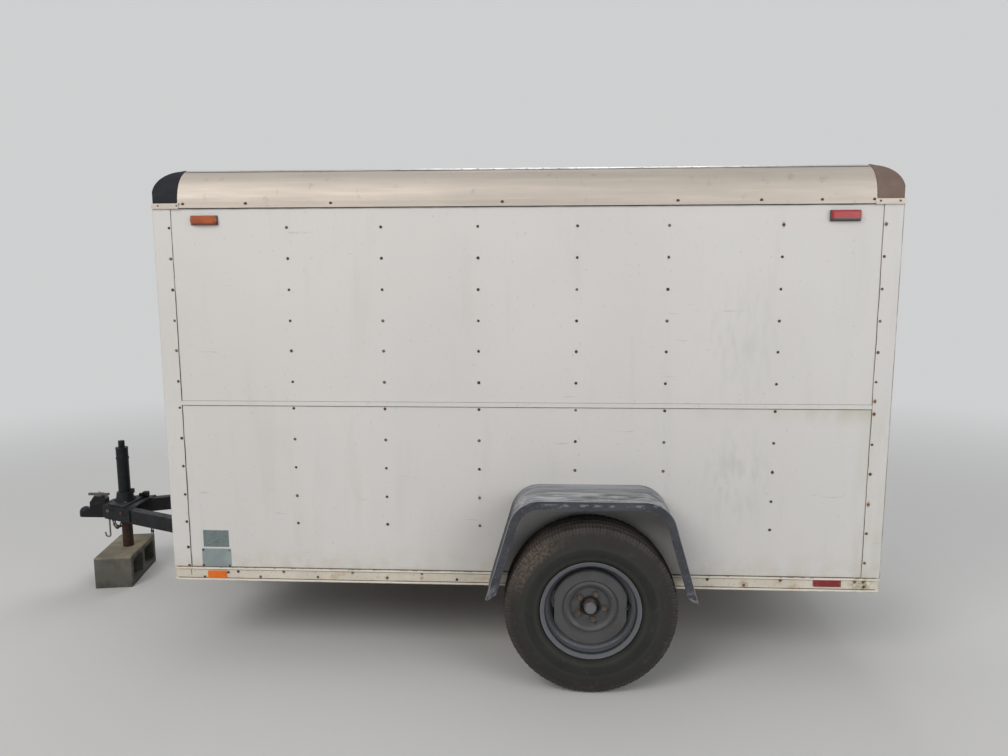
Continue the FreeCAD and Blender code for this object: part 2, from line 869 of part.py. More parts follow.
def fender_bead(label, side):
    """A bead rolled along the outer upper edge."""
    edge = half + s.fender_deep - s.fender_bead_in
    return fender_form("fender_bead_" + label, -s.fender_bead, s.fender_low,
                       across(side, edge - s.fender_bead_wide, edge))


def foot_cuts(label, y):
    """Wedges that cut the skirt's feet on a slant, so that the outer corner is lowest."""
    low = s.fender_low - 1
    wedges = []
    for i, way in enumerate((-1, 1)):
        start = wheel_x + way * (s.fender_leg_half - s.foot_cut_start)
        end = start - way * s.foot_cut_long
        wedges.append(prism("foot_cut_%s%d" % (label, i), "XZ_Plane",
                            [(start, low), (end, low), (end, low + s.foot_cut_tall)], y[0], y[1]))
    return wedges


def fenders():
    for label, side in SIDES:
        y_all = across(side, half, half + s.fender_deep)
        y_band = across(side, half - 1, half + s.fender_deep - s.fender_sheet)
        y_past = across(side, half + s.fender_deep - s.fender_sheet, half + s.fender_deep + 1)
        outer = fender_form("fender_outer_" + label, dim(0), s.fender_low, y_all)
        whole = fuse("fender_whole_" + label, [outer, fender_bead(label, side)])
        hollow = fender_form("fender_hollow_" + label, s.fender_sheet, s.fender_low - 2, y_band)
        window = fender_form("fender_window_" + label, s.fender_skirt, s.fender_low - 2,
                             across(side, half + s.fender_deep - s.fender_sheet - 1, half + s.fender_deep + 1))
        reach = s.fender_leg_half + 20
        notch = box("fender_notch_" + label, (wheel_x - reach, wheel_x + reach),
                    across(side, half - 1, half + s.trim_bead), (s.fender_low - 2, trim_top))
        void = fuse("fender_void_" + label, [hollow, window, notch] + foot_cuts(label, y_past))
        keep(cut("fender_form_" + label, whole, void), "fender_" + label)


# Axle, springs and hangers

spindle_z = s.tyre_radius
beam_z = spindle_z - s.axle_drop
tyre_y = half + s.tyre_gap + s.tyre_width / 2
spring_y = half - s.rail_wide / 2
bend_y = half + s.axle_bend_out
pack_top = (beam_z - s.axle_r - s.spring_seat).value
eye_z = pack_top + (s.spring_rise + s.eye_r * 0.4).value
reach_y = bend_y + 2 * s.axle_bend


def crank_path(side):
    """Centre line of the axle's bent end: out, up through two quarter bends, and out again."""
    x = wheel_x.value
    bend = s.axle_bend.value
    y0, y1 = bend_y.value, reach_y.value
    low, high = beam_z.value, spindle_z.value
    mid = side * (y0 + bend)
    quarter = math.sqrt(0.5) * bend
    first = Part.Arc(Vec(x, side * y0, low), Vec(x, side * (y0 + quarter), low + bend - quarter),
                     Vec(x, mid, low + bend))
    second = Part.Arc(Vec(x, mid, high - bend), Vec(x, side * (y1 - quarter), high - bend + quarter),
                      Vec(x, side * y1, high))
    lines = [
        Part.LineSegment(Vec(x, 0, low), Vec(x, side * y0, low)),
        first,
        Part.LineSegment(Vec(x, mid, low + bend), Vec(x, mid, high - bend)),
        second,
        Part.LineSegment(Vec(x, side * y1, high), Vec(x, side * (y1 + 3), high)),
    ]
    return Part.Wire([line.toShape() for line in lines])


def axle_beam():
    parts = []
    for _, side in SIDES:
        ring = Part.Wire([Part.makeCircle(s.axle_r.value, Vec(wheel_x.value, 0, beam_z.value), Vec(0, 1, 0))])
        parts.append(crank_path(side).makePipeShell([ring], True, False))
        spindle = Part.makeCylinder(s.spindle_r.value, tyre_y.value - reach_y.value + 8,
                                    Vec(wheel_x.value, side * reach_y.value, spindle_z.value), Vec(0, side, 0))
        parts.append(spindle)
    beam = doc.addObject("Part::Feature", "axle_shape")
    beam.Shape = parts[0].fuse(parts[1:]).removeSplitter()
    keep(beam, "axle_beam")


def leaf(x, z_mid, radius, half_length, thick, y0, wide):
    """One curved leaf, an arc strip that rises to both ends."""
    angle = math.asin(half_length / radius)
    points = []
    for r in (radius, radius + thick):
        points.append([Vec(x + r * math.sin(a), y0, z_mid + radius - r * math.cos(a))
                       for a in (-angle, 0, angle)])
    top, low = points
    edges = [
        Part.Arc(*top).toShape(),
        Part.LineSegment(top[2], low[2]).toShape(),
        Part.Arc(low[2], low[1], low[0]).toShape(),
        Part.LineSegment(low[0], top[0]).toShape(),
    ]
    return Part.Face(Part.Wire(edges)).extrude(Vec(0, wide, 0))


def leaf_springs():
    """Four leaves, eyes, a bottom plate and two bent bolts round the axle tube, on each side."""
    thick = s.leaf_thick.value
    reach = s.spring_half.value
    rise = s.spring_rise.value
    radius = (reach * reach + rise * rise) / (2 * rise)
    wide = s.leaf_wide.value
    past = s.spring_plate_past.value
    bolt_r = s.u_bolt_r.value
    bolt_out = s.u_bolt_out.value
    plate_half = s.spring_plate_half.value
    x = wheel_x.value
    packs = []
    for label, side in SIDES:
        y0 = side * spring_y.value - wide / 2
        solid = leaf(x, pack_top, radius, reach - thick, thick, y0, wide)
        for i, share in enumerate((0.76, 0.55, 0.34), 1):
            solid = solid.fuse(leaf(x, pack_top - thick * i, radius + thick * i, reach * share, thick, y0, wide))
        for way in (-1, 1):
            spot = Vec(x + way * reach, y0, eye_z)
            solid = solid.fuse(Part.makeCylinder(s.eye_r.value, wide, spot, Vec(0, 1, 0)))
            solid = solid.cut(Part.makeCylinder(s.spring_pin_r.value + s.pin_clear.value, wide + 2,
                                                spot - Vec(0, 1, 0), Vec(0, 1, 0)))
        plate_low = pack_top - 4 * thick - s.spring_plate.value + 0.2
        plate = Part.makeBox(2 * plate_half, wide + 2 * past, s.spring_plate.value,
                             Vec(x - plate_half, y0 - past, plate_low))
        bolts = []
        for y in (y0 - bolt_out, y0 + wide + bolt_out):
            bend = s.axle_r.value + s.u_bolt_clear.value + bolt_r
            ring = Part.makeTorus(bend, bolt_r, Vec(x, y, beam_z.value), Vec(0, 1, 0))
            upper = Part.makeBox(4 * bend, 4 * bolt_r, 2 * bend, Vec(x - 2 * bend, y - 2 * bolt_r, beam_z.value))
            bolts.append(ring.common(upper))
            for way in (-1, 1):
                foot = plate_low - s.u_bolt_past.value
                bolts.append(Part.makeCylinder(bolt_r, beam_z.value - foot, Vec(x + way * bend, y, foot)))
        packs.append(solid.fuse([plate] + bolts))
    springs = doc.addObject("Part::Feature", "spring_shape")
    springs.Shape = Part.makeCompound(packs)
    keep(springs, "leaf_springs")


def pin_along_y(radius, x, y, z, length):
    return Part.makeCylinder(radius, length, Vec(x, y, z), Vec(0, 1, 0))


def front_ear(x, inner_y, across_y):
    """Two cheeks under a foot plate, with the front eye's pin through them."""
    plate = s.hanger_plate.value
    reach = s.hanger_half.value
    low = s.trim_low.value
    past = s.pin_past.value
    parts = [Part.makeBox(2 * reach, across_y + 2 * plate, plate, Vec(x - reach, inner_y - plate, low - plate))]
    for y in (inner_y - plate, inner_y + across_y):
        parts.append(Part.makeBox(2 * reach, plate, low - eye_z, Vec(x - reach, y, eye_z)))
        parts.append(pin_along_y(s.hanger_foot_r.value, x, y, eye_z, plate))
    parts.append(pin_along_y(s.spring_pin_r.value, x, inner_y - plate - past, eye_z,
                             across_y + 2 * (plate + past)))
    return parts[0].fuse(parts[1:])


def rear_shackle(x, inner_y, across_y):
    """A lug under the rail, and two links from its pin to the rear eye's."""
    plate = s.hanger_plate.value
    low = s.trim_low.value
    past = s.pin_past.value
    end_r = s.shackle_end_r.value
    high_x = x + s.shackle_back.value
    high_z = low - s.shackle_drop.value
    gap = s.hanger_gap.value
    lug_y, lug_wide = inner_y + gap, across_y - 2 * gap
    parts = [
        Part.makeBox(2 * end_r, lug_wide, low - high_z, Vec(high_x - end_r, lug_y, high_z)),
        pin_along_y(end_r - 1, high_x, lug_y, high_z, lug_wide),
    ]
    run = Vec(high_x - x, 0, high_z - eye_z)
    turn = FreeCAD.Rotation(Vec(1, 0, 0), run)
    for y in (inner_y - plate, inner_y + across_y):
        link = Part.makeBox(run.Length, plate, 2 * end_r - 4, Vec(0, 0, 2 - end_r))
        link.Placement = FreeCAD.Placement(Vec(x, y, eye_z), turn)
        parts += [link, pin_along_y(end_r, x, y, eye_z, plate), pin_along_y(end_r, high_x, y, high_z, plate)]
    for spot_x, spot_z in ((x, eye_z), (high_x, high_z)):
        parts.append(pin_along_y(s.spring_pin_r.value, spot_x, inner_y - plate - past, spot_z,
                                 across_y + 2 * (plate + past)))
    return parts[0].fuse(parts[1:])


def spring_hangers():
    """Front ears and rear shackles that carry the spring eyes under the main rails."""
    across_y = s.leaf_wide.value + 2 * s.hanger_gap.value
    hangers = []
    for label, side in SIDES:
        inner_y = side * spring_y.value - across_y / 2
        hangers.append(front_ear(wheel_x.value - s.spring_half.value, inner_y, across_y))
        hangers.append(rear_shackle(wheel_x.value + s.spring_half.value, inner_y, across_y))
    carrier = doc.addObject("Part::Feature", "hanger_shape")
    carrier.Shape = Part.makeCompound(hangers)
    keep(carrier, "spring_hangers")


# Wheels

def lug_row(name, side, start, length, radius, six_sided=False):
    """Five rods or hexagons along the axle on the lug circle."""
    parts = []
    y = across(side, tyre_y + start, tyre_y + start + length)[0]
    for i in range(5):
        angle = math.radians(72 * i - 6)
        centre = (wheel_x + s.lug_circle * math.cos(angle), y, spindle_z + s.lug_circle * math.sin(angle))
        make = hexagon if six_sided else rod
        parts.append(make("%s%d" % (name, i), centre, radius, length, ALONG_Y))
    return parts


def disc_slots(label, side, face):
    """Two slits between the disc's flats and the rim: what a band leaves of a round bar."""
    y = across(side, tyre_y, tyre_y + face + 1)
    bar = rod("slot_bar_" + label, (wheel_x, y[0], spindle_z), s.well_r - s.rim_sheet, face + 1, ALONG_Y)
    band = box("slot_band_" + label, (wheel_x - s.disc_flat, wheel_x + s.disc_flat), (y[0] - 1, y[1] + 1),
               (spindle_z - s.well_r, spindle_z + s.well_r))
    return [cut("slots_" + label, bar, band)]


def wheels():
    w = s.tyre_width / 2
    side_run = [
        (38, s.bead_r), (37, s.bead_r + 5), (30, s.bead_r + 20), (16, s.bead_r + 26), (3, s.bead_r + 56),
        (0, s.bead_r + 78), (4, s.bead_r + 112), (14, s.tyre_radius - 18), (26, s.tyre_radius - 5),
        (60, s.tyre_radius),
    ]
    tyre_profile = [(a - w, r) for a, r in side_run] + [(w - a, r) for a, r in reversed(side_run)]
    t = s.rim_sheet
    e = s.rim_half
    rim_profile = [
        (-e, s.rim_flange_r), (-e + 8, s.bead_r + 3), (-e + 14, s.bead_r - 0.3), (-e + 32, s.bead_r - 2),
        (-e + 42, s.well_r), (e - 62, s.well_r), (e - 46, s.bead_r - 2), (e - 14, s.bead_r - 0.3),
        (e - 8, s.bead_r + 3), (e, s.rim_flange_r),
        (e, s.rim_flange_r - t), (e - 5, s.bead_r - 1), (e - 12, s.bead_r - 4), (e - 44, s.bead_r - 6),
        (e - 60, s.well_r - t), (-e + 40, s.well_r - t), (-e + 30, s.bead_r - 6), (-e + 12, s.bead_r - 4),
        (-e + 5, s.bead_r - 1), (-e, s.rim_flange_r - t),
    ]
    face = s.rim_half - s.disc_set
    lug_face = face - 27
    seat = lug_face - t
    collar = s.hub_pilot_r + 1
    disc_profile = [
        (10, s.well_r - t + 0.5), (face - 6, s.disc_r + 4), (face, s.disc_r), (face, 118), (face - 10, 112),
        (face - 5, 100), (face - 12, 88), (lug_face, 77), (lug_face, collar + 2), (lug_face + 4, collar + 1),
        (lug_face + 4, collar), (seat, collar), (seat, 79), (face - 15, 91), (face - 9, 100),
        (face - 14, 114), (face - t, 120), (face - t, s.disc_r - 2), (face - 9, s.disc_r),
        (10, s.well_r - 2 * t),
    ]
    groove = s.hub_pilot_r - 4
    hub_profile = [
        (-s.hub_in, s.spindle_r + s.spindle_clear), (-s.hub_in, 34), (seat - 14, 38),
        (seat - 14, s.hub_flange_r),
        (seat, s.hub_flange_r), (seat, s.hub_pilot_r), (seat + 6, s.hub_pilot_r), (seat + 6, groove),
        (seat - 6, groove), (seat - 6, s.cap_r), (seat + 34, s.cap_r), (seat + 42, s.cap_r - 6), (seat + 42, 0),
        (12, 0), (12, s.spindle_r + s.spindle_clear),
    ]
    for label, side in SIDES:
        centre = (wheel_x, side * tyre_y, spindle_z)
        keep(turned("tyre_" + label, tyre_profile, centre, side), "tyre_" + label)
        rim = turned("rim_band_" + label, rim_profile, centre, side)
        disc = turned("rim_disc_" + label, disc_profile, centre, side)
        holes = lug_row("lug_hole_" + label, side, seat - 1, t + 2, s.stud_r + s.stud_clear)
        voids = group("rim_voids_" + label, disc_slots(label, side, face) + holes)
        keep(fuse("rim_" + label, [rim, cut("rim_disc_cut_" + label, disc, voids)]), "rim_" + label)
        hub = turned("hub_body_" + label, hub_profile, centre, side)
        studs = lug_row("stud_" + label, side, seat - 1, t + 1 + s.lug_tall + s.stud_past, s.stud_r)
        nuts = lug_row("nut_" + label, side, lug_face, s.lug_tall, s.lug_r, True)
        keep(fuse("hub_" + label, [hub] + studs + nuts), "hub_" + label)


# Coupler, jack, chains and block

socket_outer = s.socket_bore + s.socket_wall
socket_x = nose_x + socket_outer
jack_x = front_x - s.jack_back
plate_top = frame_top + s.coupler_plate


skirt_top = s.socket_low + s.socket_skirt
front_cut = apex_x + s.tongue_nose_gap


def neck_top(x):
    """Height of the coupler's sloping top between the socket and the tongue rails."""
    low = skirt_top + s.neck_rise
    return low + (x - socket_x) * (plate_top - low) / (front_cut - socket_x)


def coupler():
    """Ball socket and neck, with a plate and two cheeks that straddle the tongue rails."""
    shell = rod("socket_wall", (socket_x, 0, s.socket_low), socket_outer, s.socket_skirt)
    dome_out = ball("socket_dome", (socket_x, 0, skirt_top), socket_outer)
    neck_low = frame_top - s.coupler_cheek
    neck = prism("coupler_neck", "XZ_Plane", [
        (socket_x, s.socket_low), (front_cut, s.socket_low), (front_cut, plate_top),
        (socket_x, neck_top(socket_x)),
    ], -socket_outer, socket_outer)
    back_x = apex_x + s.coupler_back
    side_y = (front_cut - apex_x) * s.tongue_slope + tongue_half
    back_y = s.coupler_back * s.tongue_slope + tongue_half
    thick = s.coupler_plate
    plate = prism("coupler_plate_top", "XY_Plane", [
        (front_cut - 4, -side_y - thick), (back_x, -back_y - thick), (back_x, back_y + thick),
        (front_cut - 4, side_y + thick),
    ], frame_top, plate_top)
    nose_plate = prism("coupler_nose_plate", "XY_Plane", [
        (front_cut - s.nose_plate, -side_y), (front_cut, -side_y - thick), (front_cut, side_y + thick),
        (front_cut - s.nose_plate, side_y),
    ], neck_low, plate_top)
    cheeks = []
    for label, side in SIDES:
        cheeks.append(prism("coupler_cheek_" + label, "XY_Plane", [
            (front_cut, side * side_y), (back_x, side * back_y), (back_x, side * (back_y + thick)),
            (front_cut, side * (side_y + thick)),
        ], neck_low, plate_top))
    solid = fuse("coupler_solid", [shell, dome_out, neck, plate, nose_plate] + cheeks)
    below = s.socket_low - 2 * socket_outer
    hollow = fuse("socket_hollow", [
        rod("socket_bore_cut", (socket_x, 0, s.socket_low - 1), s.socket_bore, s.socket_skirt + 1),
        ball("socket_ball_cut", (socket_x, 0, skirt_top), s.socket_bore),
        box("socket_below", (socket_x - 2 * socket_outer, front_cut), (-2 * socket_outer, 2 * socket_outer),
            (below, s.socket_low)),
        rod("coupler_jack_hole", (jack_x, 0, frame_top - 1), s.jack_tube_r + s.jack_hole_gap,
            s.coupler_plate + 2),
    ])
    keep(cut("coupler_cut", solid, hollow), "coupler")


def coupler_latch():
    """A sloped housing on the neck, with a lever laid through its top and a knob over it."""
    wide = s.latch_wide / 2
    nose = front_cut - s.latch_front
    heel = front_cut - s.latch_heel
    roof_z = plate_top + s.latch_body
    housing = prism("latch_housing", "XZ_Plane", [
        (nose, neck_top(nose)), (heel, neck_top(heel)), (heel, plate_top + s.latch_heel_tall),
        (front_cut - s.latch_roof_back, roof_z), (front_cut - s.latch_roof_front, roof_z), (nose, plate_top),
    ], -wide, wide)
    knob_x = front_cut - s.latch_knob
    lever_top = roof_z + s.lever_up
    lever = box("latch_lever", (knob_x - s.lever_long / 2, knob_x + s.lever_long / 2),
                (-s.lever_wide / 2, s.lever_wide / 2), (lever_top - s.lever_thick, lever_top))
    knob = rod("latch_knob", (knob_x, 0, roof_z - 1), s.latch_pin_r, s.latch_tall - s.latch_body + 1)
    keep(fuse("latch", [housing, lever, knob]), "coupler_latch")


def jack():
    tube = rod("jack_outer", (jack_x, 0, s.jack_low), s.jack_tube_r, s.jack_high - s.jack_low)
    bore = rod("jack_bore", (jack_x, 0, s.jack_low - 1), s.jack_bore_r, s.jack_bore_high - s.jack_low + 1)
    cap = rod("jack_cap", (jack_x, 0, s.jack_high), s.jack_cap_r, s.jack_cap_tall)
    stub = rod("jack_stub", (jack_x, 0, s.jack_high + s.jack_cap_tall), s.jack_stub_r, s.jack_stub_tall)
    band = rod("jack_band", (jack_x, 0, s.jack_high - s.jack_band_down), s.jack_tube_r + s.jack_band_out,
               s.jack_band_tall)
    keep(cut("jack_tube_cut", fuse("jack_tube_solid", [tube, cap, stub, band]), bore), "jack_tube")
    reach = s.jack_plate_half
    near_y = (jack_x - reach - apex_x) * s.tongue_slope + tongue_half
    far_y = (jack_x + reach - apex_x) * s.tongue_slope + tongue_half
    plate = prism("jack_plate_top", "XY_Plane", [
        (jack_x - reach, -near_y), (jack_x + reach, -far_y), (jack_x + reach, far_y), (jack_x - reach, near_y),
    ], plate_top, plate_top + s.jack_plate)
    collar_z = plate_top + s.jack_plate
    ring = cone("jack_collar", (jack_x, 0, collar_z - 1), s.collar_low_r, s.collar_high_r, s.collar_tall)
    ear_top = collar_z + s.collar_tall + s.ear_up
    ear = box("jack_ear", (jack_x, jack_x + s.ear_long), (-s.ear_wide / 2, s.ear_wide / 2),
              (ear_top - s.ear_tall, ear_top))
    hole = rod("jack_hole", (jack_x, 0, plate_top - 1), s.jack_tube_r,
               s.jack_plate + s.collar_tall + s.ear_up + 4)
    keep(cut("jack_flange_cut", fuse("jack_flange_solid", [plate, ring, ear]), hole), "jack_flange")
    leg = rod("jack_leg_rod", (jack_x, 0, s.block_tall), s.jack_leg_r, s.jack_leg_high - s.block_tall)
    keep(leg, "jack_leg")
    block = doc.addObject("Part::Feature", "block_shape")
    w, l, t = s.block_wide.value, s.block_long.value, s.block_tall.value
    shape = Part.makeBox(w, l, t, Vec(-w / 2, -l / 2, 0))
    upper = [e for e in shape.Edges if min(v.Point.z for v in e.Vertexes) > 1]
    shape = shape.makeFillet(s.block_round.value, upper)
    wall = s.block_shell.value
    long = (l - 3 * wall) / 2
    for y in (wall / 2, -wall / 2 - long):
        core = Part.makeBox(w + 2, long, t - 2 * wall, Vec(-w / 2 - 1, y, wall))
        run = [e for e in core.Edges if abs(e.Vertexes[0].Point.x - e.Vertexes[1].Point.x) > w]
        shape = shape.cut(core.makeFillet(s.block_core_round.value, run))
    block.Shape = shape
    turn = FreeCAD.Rotation(Vec(0, 0, 1), s.block_turn.value)
    block.Placement = FreeCAD.Placement(Vec((jack_x - s.block_back).value, 0, 0), turn)
    keep(block, "support_block")


# Safety chain

def chain_link(spot, along, flat):
    """One link, a round wire bent into a long loop, with its length along a direction."""
    wire = s.chain_wire_r.value
    bend = s.chain_inner_wide.value / 2 + wire
    run = s.chain_inner_long.value / 2 - s.chain_inner_wide.value / 2
    side = along.cross(flat).normalize()
    corners = [spot + along * (run * i) + side * (bend * j) for i, j in ((-1, -1), (1, -1), (1, 1), (-1, 1))]
    tips = [spot + along * (run + bend), spot - along * (run + bend)]
    path = Part.Wire([
        Part.LineSegment(corners[0], corners[1]).toShape(),
        Part.Arc(corners[1], tips[0], corners[2]).toShape(),
        Part.LineSegment(corners[2], corners[3]).toShape(),
        Part.Arc(corners[3], tips[1], corners[0]).toShape(),
    ])
    ring = Part.Wire([Part.makeCircle(wire, corners[0], along)])
    return path.makePipeShell([ring], True, False)


def chain_hook():
    """The loose end's hook, hung from an eye under the near tongue rail."""
    wire = s.hook_wire_r.value
    bend = s.hook_bend.value
    eye_r = 0.7 * bend
    under = Vec((apex_x + s.hook_back).value, -(s.hook_back * s.tongue_slope).value, s.frame_low.value)
    top = under - Vec(0, 0, eye_r)
    low = top - Vec(0, 0, s.hook_drop.value)
    tip = low - Vec(2 * bend, 0, 0)
    path = Part.Wire([
        Part.LineSegment(top, low).toShape(),
        Part.Arc(low, low - Vec(bend, 0, bend), tip).toShape(),
        Part.LineSegment(tip, tip + Vec(-bend / 4, 0, bend)).toShape(),
    ])
    bar = path.makePipeShell([Part.Wire([Part.makeCircle(wire, top, Vec(0, 0, 1))])], True, False)
    ring = Part.makeTorus(eye_r, wire, under, Vec(0, 1, 0))
    below = Part.makeBox(4 * bend, 4 * wire, 2 * bend, under - Vec(2 * bend, 2 * wire, 2 * bend))
    return bar.fuse(ring.common(below))


def safety_chains():
    """A chain that hangs in a loop between two eyes under the tongue rails."""
    wire = s.chain_wire_r.value
    pitch = s.chain_inner_long.value - s.chain_slack.value
    x = (apex_x + s.chain_back).value
    side_y = (s.chain_back * s.tongue_slope).value
    low = s.frame_low.value
    eye_r = s.chain_eye_r.value
    # the links' lean from straight down, from one eye to the lowest link, which lies level
    leans = (10, 32, 61.5)
    solids = []
    for side in (-1, 1):
        eye = Part.makeTorus(eye_r, wire, Vec(x, side * side_y, low), Vec(0, 1, 0))
        below = Part.makeBox(60, 60, 40, Vec(x - 30, side * side_y - 30, low - 40))
        solids.append(eye.common(below))
    spot = Vec(x, -side_y, low - eye_r + wire)
    links = []
    for i, lean in enumerate(leans):
        angle = math.radians(lean)
        along = Vec(0, math.sin(angle), -math.cos(angle))
        flat = Vec(1, 0, 0) if i % 2 == 0 else along.cross(Vec(1, 0, 0)).normalize()
        centre = spot + along * (pitch / 2)
        links.append((centre, along, flat))
        spot = spot + along * pitch
    level = Vec(0, 1, 0)
    solids.append(chain_link(Vec(x, 0, spot.z), level, Vec(0, 0, 1)))
    for centre, along, flat in links:
        solids.append(chain_link(centre, along, flat))
    for centre, along, flat in links:
        solids.append(chain_link(Vec(centre.x, -centre.y, centre.z), Vec(along.x, -along.y, along.z),
                                 Vec(flat.x, -flat.y, flat.z)))
    solids.append(chain_hook())
    chain = doc.addObject("Part::Feature", "chain_shape")
    chain.Shape = Part.makeCompound(solids)
    keep(chain, "safety_chains")


# Lamps and reflectors

def lenses(name, x_mid, z_mid, size, base, rounding, bevel):
    """A pair of lenses on the sides, rounded in outline and bevelled round the front."""
    long, tall, out = size
    x = (x_mid - long / 2, x_mid + long / 2)
    z = (z_mid - tall / 2, z_mid + tall / 2)
    points = [(x[0], z[0]), (x[1], z[0]), (x[1], z[1]), (x[0], z[1])]
    pair = []
    for label, side in SIDES:
        y = across(side, base, base + out)
        body = prism("%s_%s" % (name, label), "XZ_Plane", points, y[0], y[1], [(i, rounding) for i in range(4)])
        pair.append(bevelled(body, "y", side * (base + out), bevel))
    return group(name, pair)


def tail_lenses():
    x = rear_x + s.trim_bead
    low = s.trim_low + s.tail_up
    pair = []
    for label, side in SIDES:
        y = across(side, half - s.tail_in - s.tail_long / 2, half - s.tail_in + s.tail_long / 2)
        points = [(y[0], low), (y[1], low), (y[1], low + s.tail_tall), (y[0], low + s.tail_tall)]
        body = prism("tail_" + label, "YZ_Plane", points, x, x + s.tail_out,
                     [(i, s.tail_round) for i in range(4)])
        pair.append(bevelled(body, "x", x + s.tail_out, s.lamp_bevel))
    return group("tails", pair)


def lamps():
    keep(lenses("amber_lamp", front_x + s.amber_back, s.cove_low - s.amber_down,
                (s.amber_long, s.amber_tall, s.lamp_out), half, s.amber_round, s.lamp_bevel),
         "marker_lamps_amber")
    keep(lenses("red_lamp", rear_x - s.red_back, s.cove_low - s.red_down,
                (s.red_long, s.red_tall, s.lamp_out), half, s.red_round, s.lamp_bevel), "marker_lamps_red")
    web = half + s.trim_web
    keep(lenses("amber_reflector", front_x + s.front_reflector_back, s.trim_low + s.front_reflector_up,
                (s.front_reflector_long, s.front_reflector_tall, s.reflector_out), web, s.reflector_round,
                s.reflector_bevel), "reflectors_amber")
    keep(lenses("red_reflector", rear_x - s.rear_reflector_back, s.trim_low + s.rear_reflector_up,
                (s.rear_reflector_long, s.rear_reflector_tall, s.reflector_out), web, s.reflector_round,
                s.reflector_bevel), "reflectors_red")
    keep(tail_lenses(), "tail_lamps")


# Build, check and write

def build():
    frame_rails()
    rails = cross_members(tongue_rails())
    deck()
    walls()
    rear_posts()
    roof()
    belt_trims()
    bottom_rails(rails)
    rear_frame()
    doors()
    lock_bars()
    fenders()
    axle_beam()
    leaf_springs()
    spring_hangers()
    wheels()
    coupler()
    coupler_latch()
    jack()
    safety_chains()
    lamps()
    doc.recompute()


def check():
    for obj in doc.Objects:
        if "Invalid" in obj.State or "Error" in obj.State:
            raise RuntimeError("%s is %s" % (obj.Name, obj.State))
    for obj in nodes:
        shape = obj.Shape
        if shape.isNull() or not shape.isValid() or not shape.Solids:
            raise RuntimeError("%s has no valid shape" % obj.Label)
        print("%-24s solids %2d  volume %9.0f cm3" % (obj.Label, len(shape.Solids), shape.Volume / 1000))


def write():
    os.makedirs("parts", exist_ok=True)
    for obj in nodes:
        obj.Shape.exportStep("parts/%s.step" % obj.Label)


build()
check()
write()
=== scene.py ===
"""Enclosed single-axle utility trailer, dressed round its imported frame.

Metres. +X runs from the coupler to the rear doors, -Y is the left side and +Z is up.
"""
import math

import bmesh
import bpy
from mathutils import Matrix, Vector

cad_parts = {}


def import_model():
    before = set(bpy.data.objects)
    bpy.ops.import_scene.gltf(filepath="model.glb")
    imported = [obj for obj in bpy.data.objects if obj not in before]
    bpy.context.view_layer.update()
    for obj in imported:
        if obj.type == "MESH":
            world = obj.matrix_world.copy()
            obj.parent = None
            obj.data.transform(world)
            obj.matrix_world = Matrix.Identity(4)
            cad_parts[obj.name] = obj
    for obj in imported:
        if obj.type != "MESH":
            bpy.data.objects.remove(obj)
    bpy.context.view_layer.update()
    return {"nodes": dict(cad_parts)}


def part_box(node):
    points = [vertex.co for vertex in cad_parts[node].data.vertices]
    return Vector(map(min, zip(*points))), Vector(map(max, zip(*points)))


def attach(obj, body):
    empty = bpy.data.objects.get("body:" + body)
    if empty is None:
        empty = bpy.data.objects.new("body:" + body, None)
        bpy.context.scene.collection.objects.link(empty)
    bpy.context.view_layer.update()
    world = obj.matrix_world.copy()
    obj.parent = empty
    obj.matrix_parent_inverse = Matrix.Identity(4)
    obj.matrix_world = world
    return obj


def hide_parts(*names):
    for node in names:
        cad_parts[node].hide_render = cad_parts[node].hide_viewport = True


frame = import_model()

# Places of the body, read from the frame
SKIN_LOW, SKIN_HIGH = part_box("side_wall_upper_left")
BELT_LOW, BELT_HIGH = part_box("belt_trims")
TRIM_LOW, TRIM_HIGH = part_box("bottom_rails")
TYRE_LOW, TYRE_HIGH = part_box("tyre_left")
FRONT_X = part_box("front_wall_upper")[0].x
POST_LAP = 0.002
POST_FLANGE = SKIN_LOW.x - FRONT_X
REAR_X = SKIN_HIGH.x + POST_FLANGE
HALF = -SKIN_LOW.y
COVE_Z = SKIN_HIGH.z
WHEEL_X = (TYRE_LOW.x + TYRE_HIGH.x) / 2
WHEEL_Z = TYRE_HIGH.z / 2
WHEEL_AXIS = (WHEEL_X, 0, WHEEL_Z)
TYRE_Y = -(TYRE_LOW.y + TYRE_HIGH.y) / 2
ROOF_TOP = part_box("roof_panel")[1].z
CAP_REACH = 0.110
BAR_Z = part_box("coupler_latch")[1].z - 0.021
SIDES = (("left", -1), ("right", 1))


# Node trees

def put(tree, kind, wires=None, **settings):
    """Add a node, set its properties, and fill or wire its inputs by name or number."""
    node = tree.nodes.new(kind)
    for key, value in settings.items():
        setattr(node, key, value)
    for key, value in (wires or {}).items():
        socket = node.inputs[key]
        if isinstance(value, bpy.types.NodeSocket):
            tree.links.new(value, socket)
        else:
            socket.default_value = value
    return node


def first(tree, kind, wires=None, **settings):
    """Add a node and give its first output."""
    return put(tree, kind, wires, **settings).outputs[0]


def calc(tree, way, a, b=0.0):
    """A sum of one or two numbers or sockets."""
    return first(tree, "ShaderNodeMath", {0: a, 1: b}, operation=way)


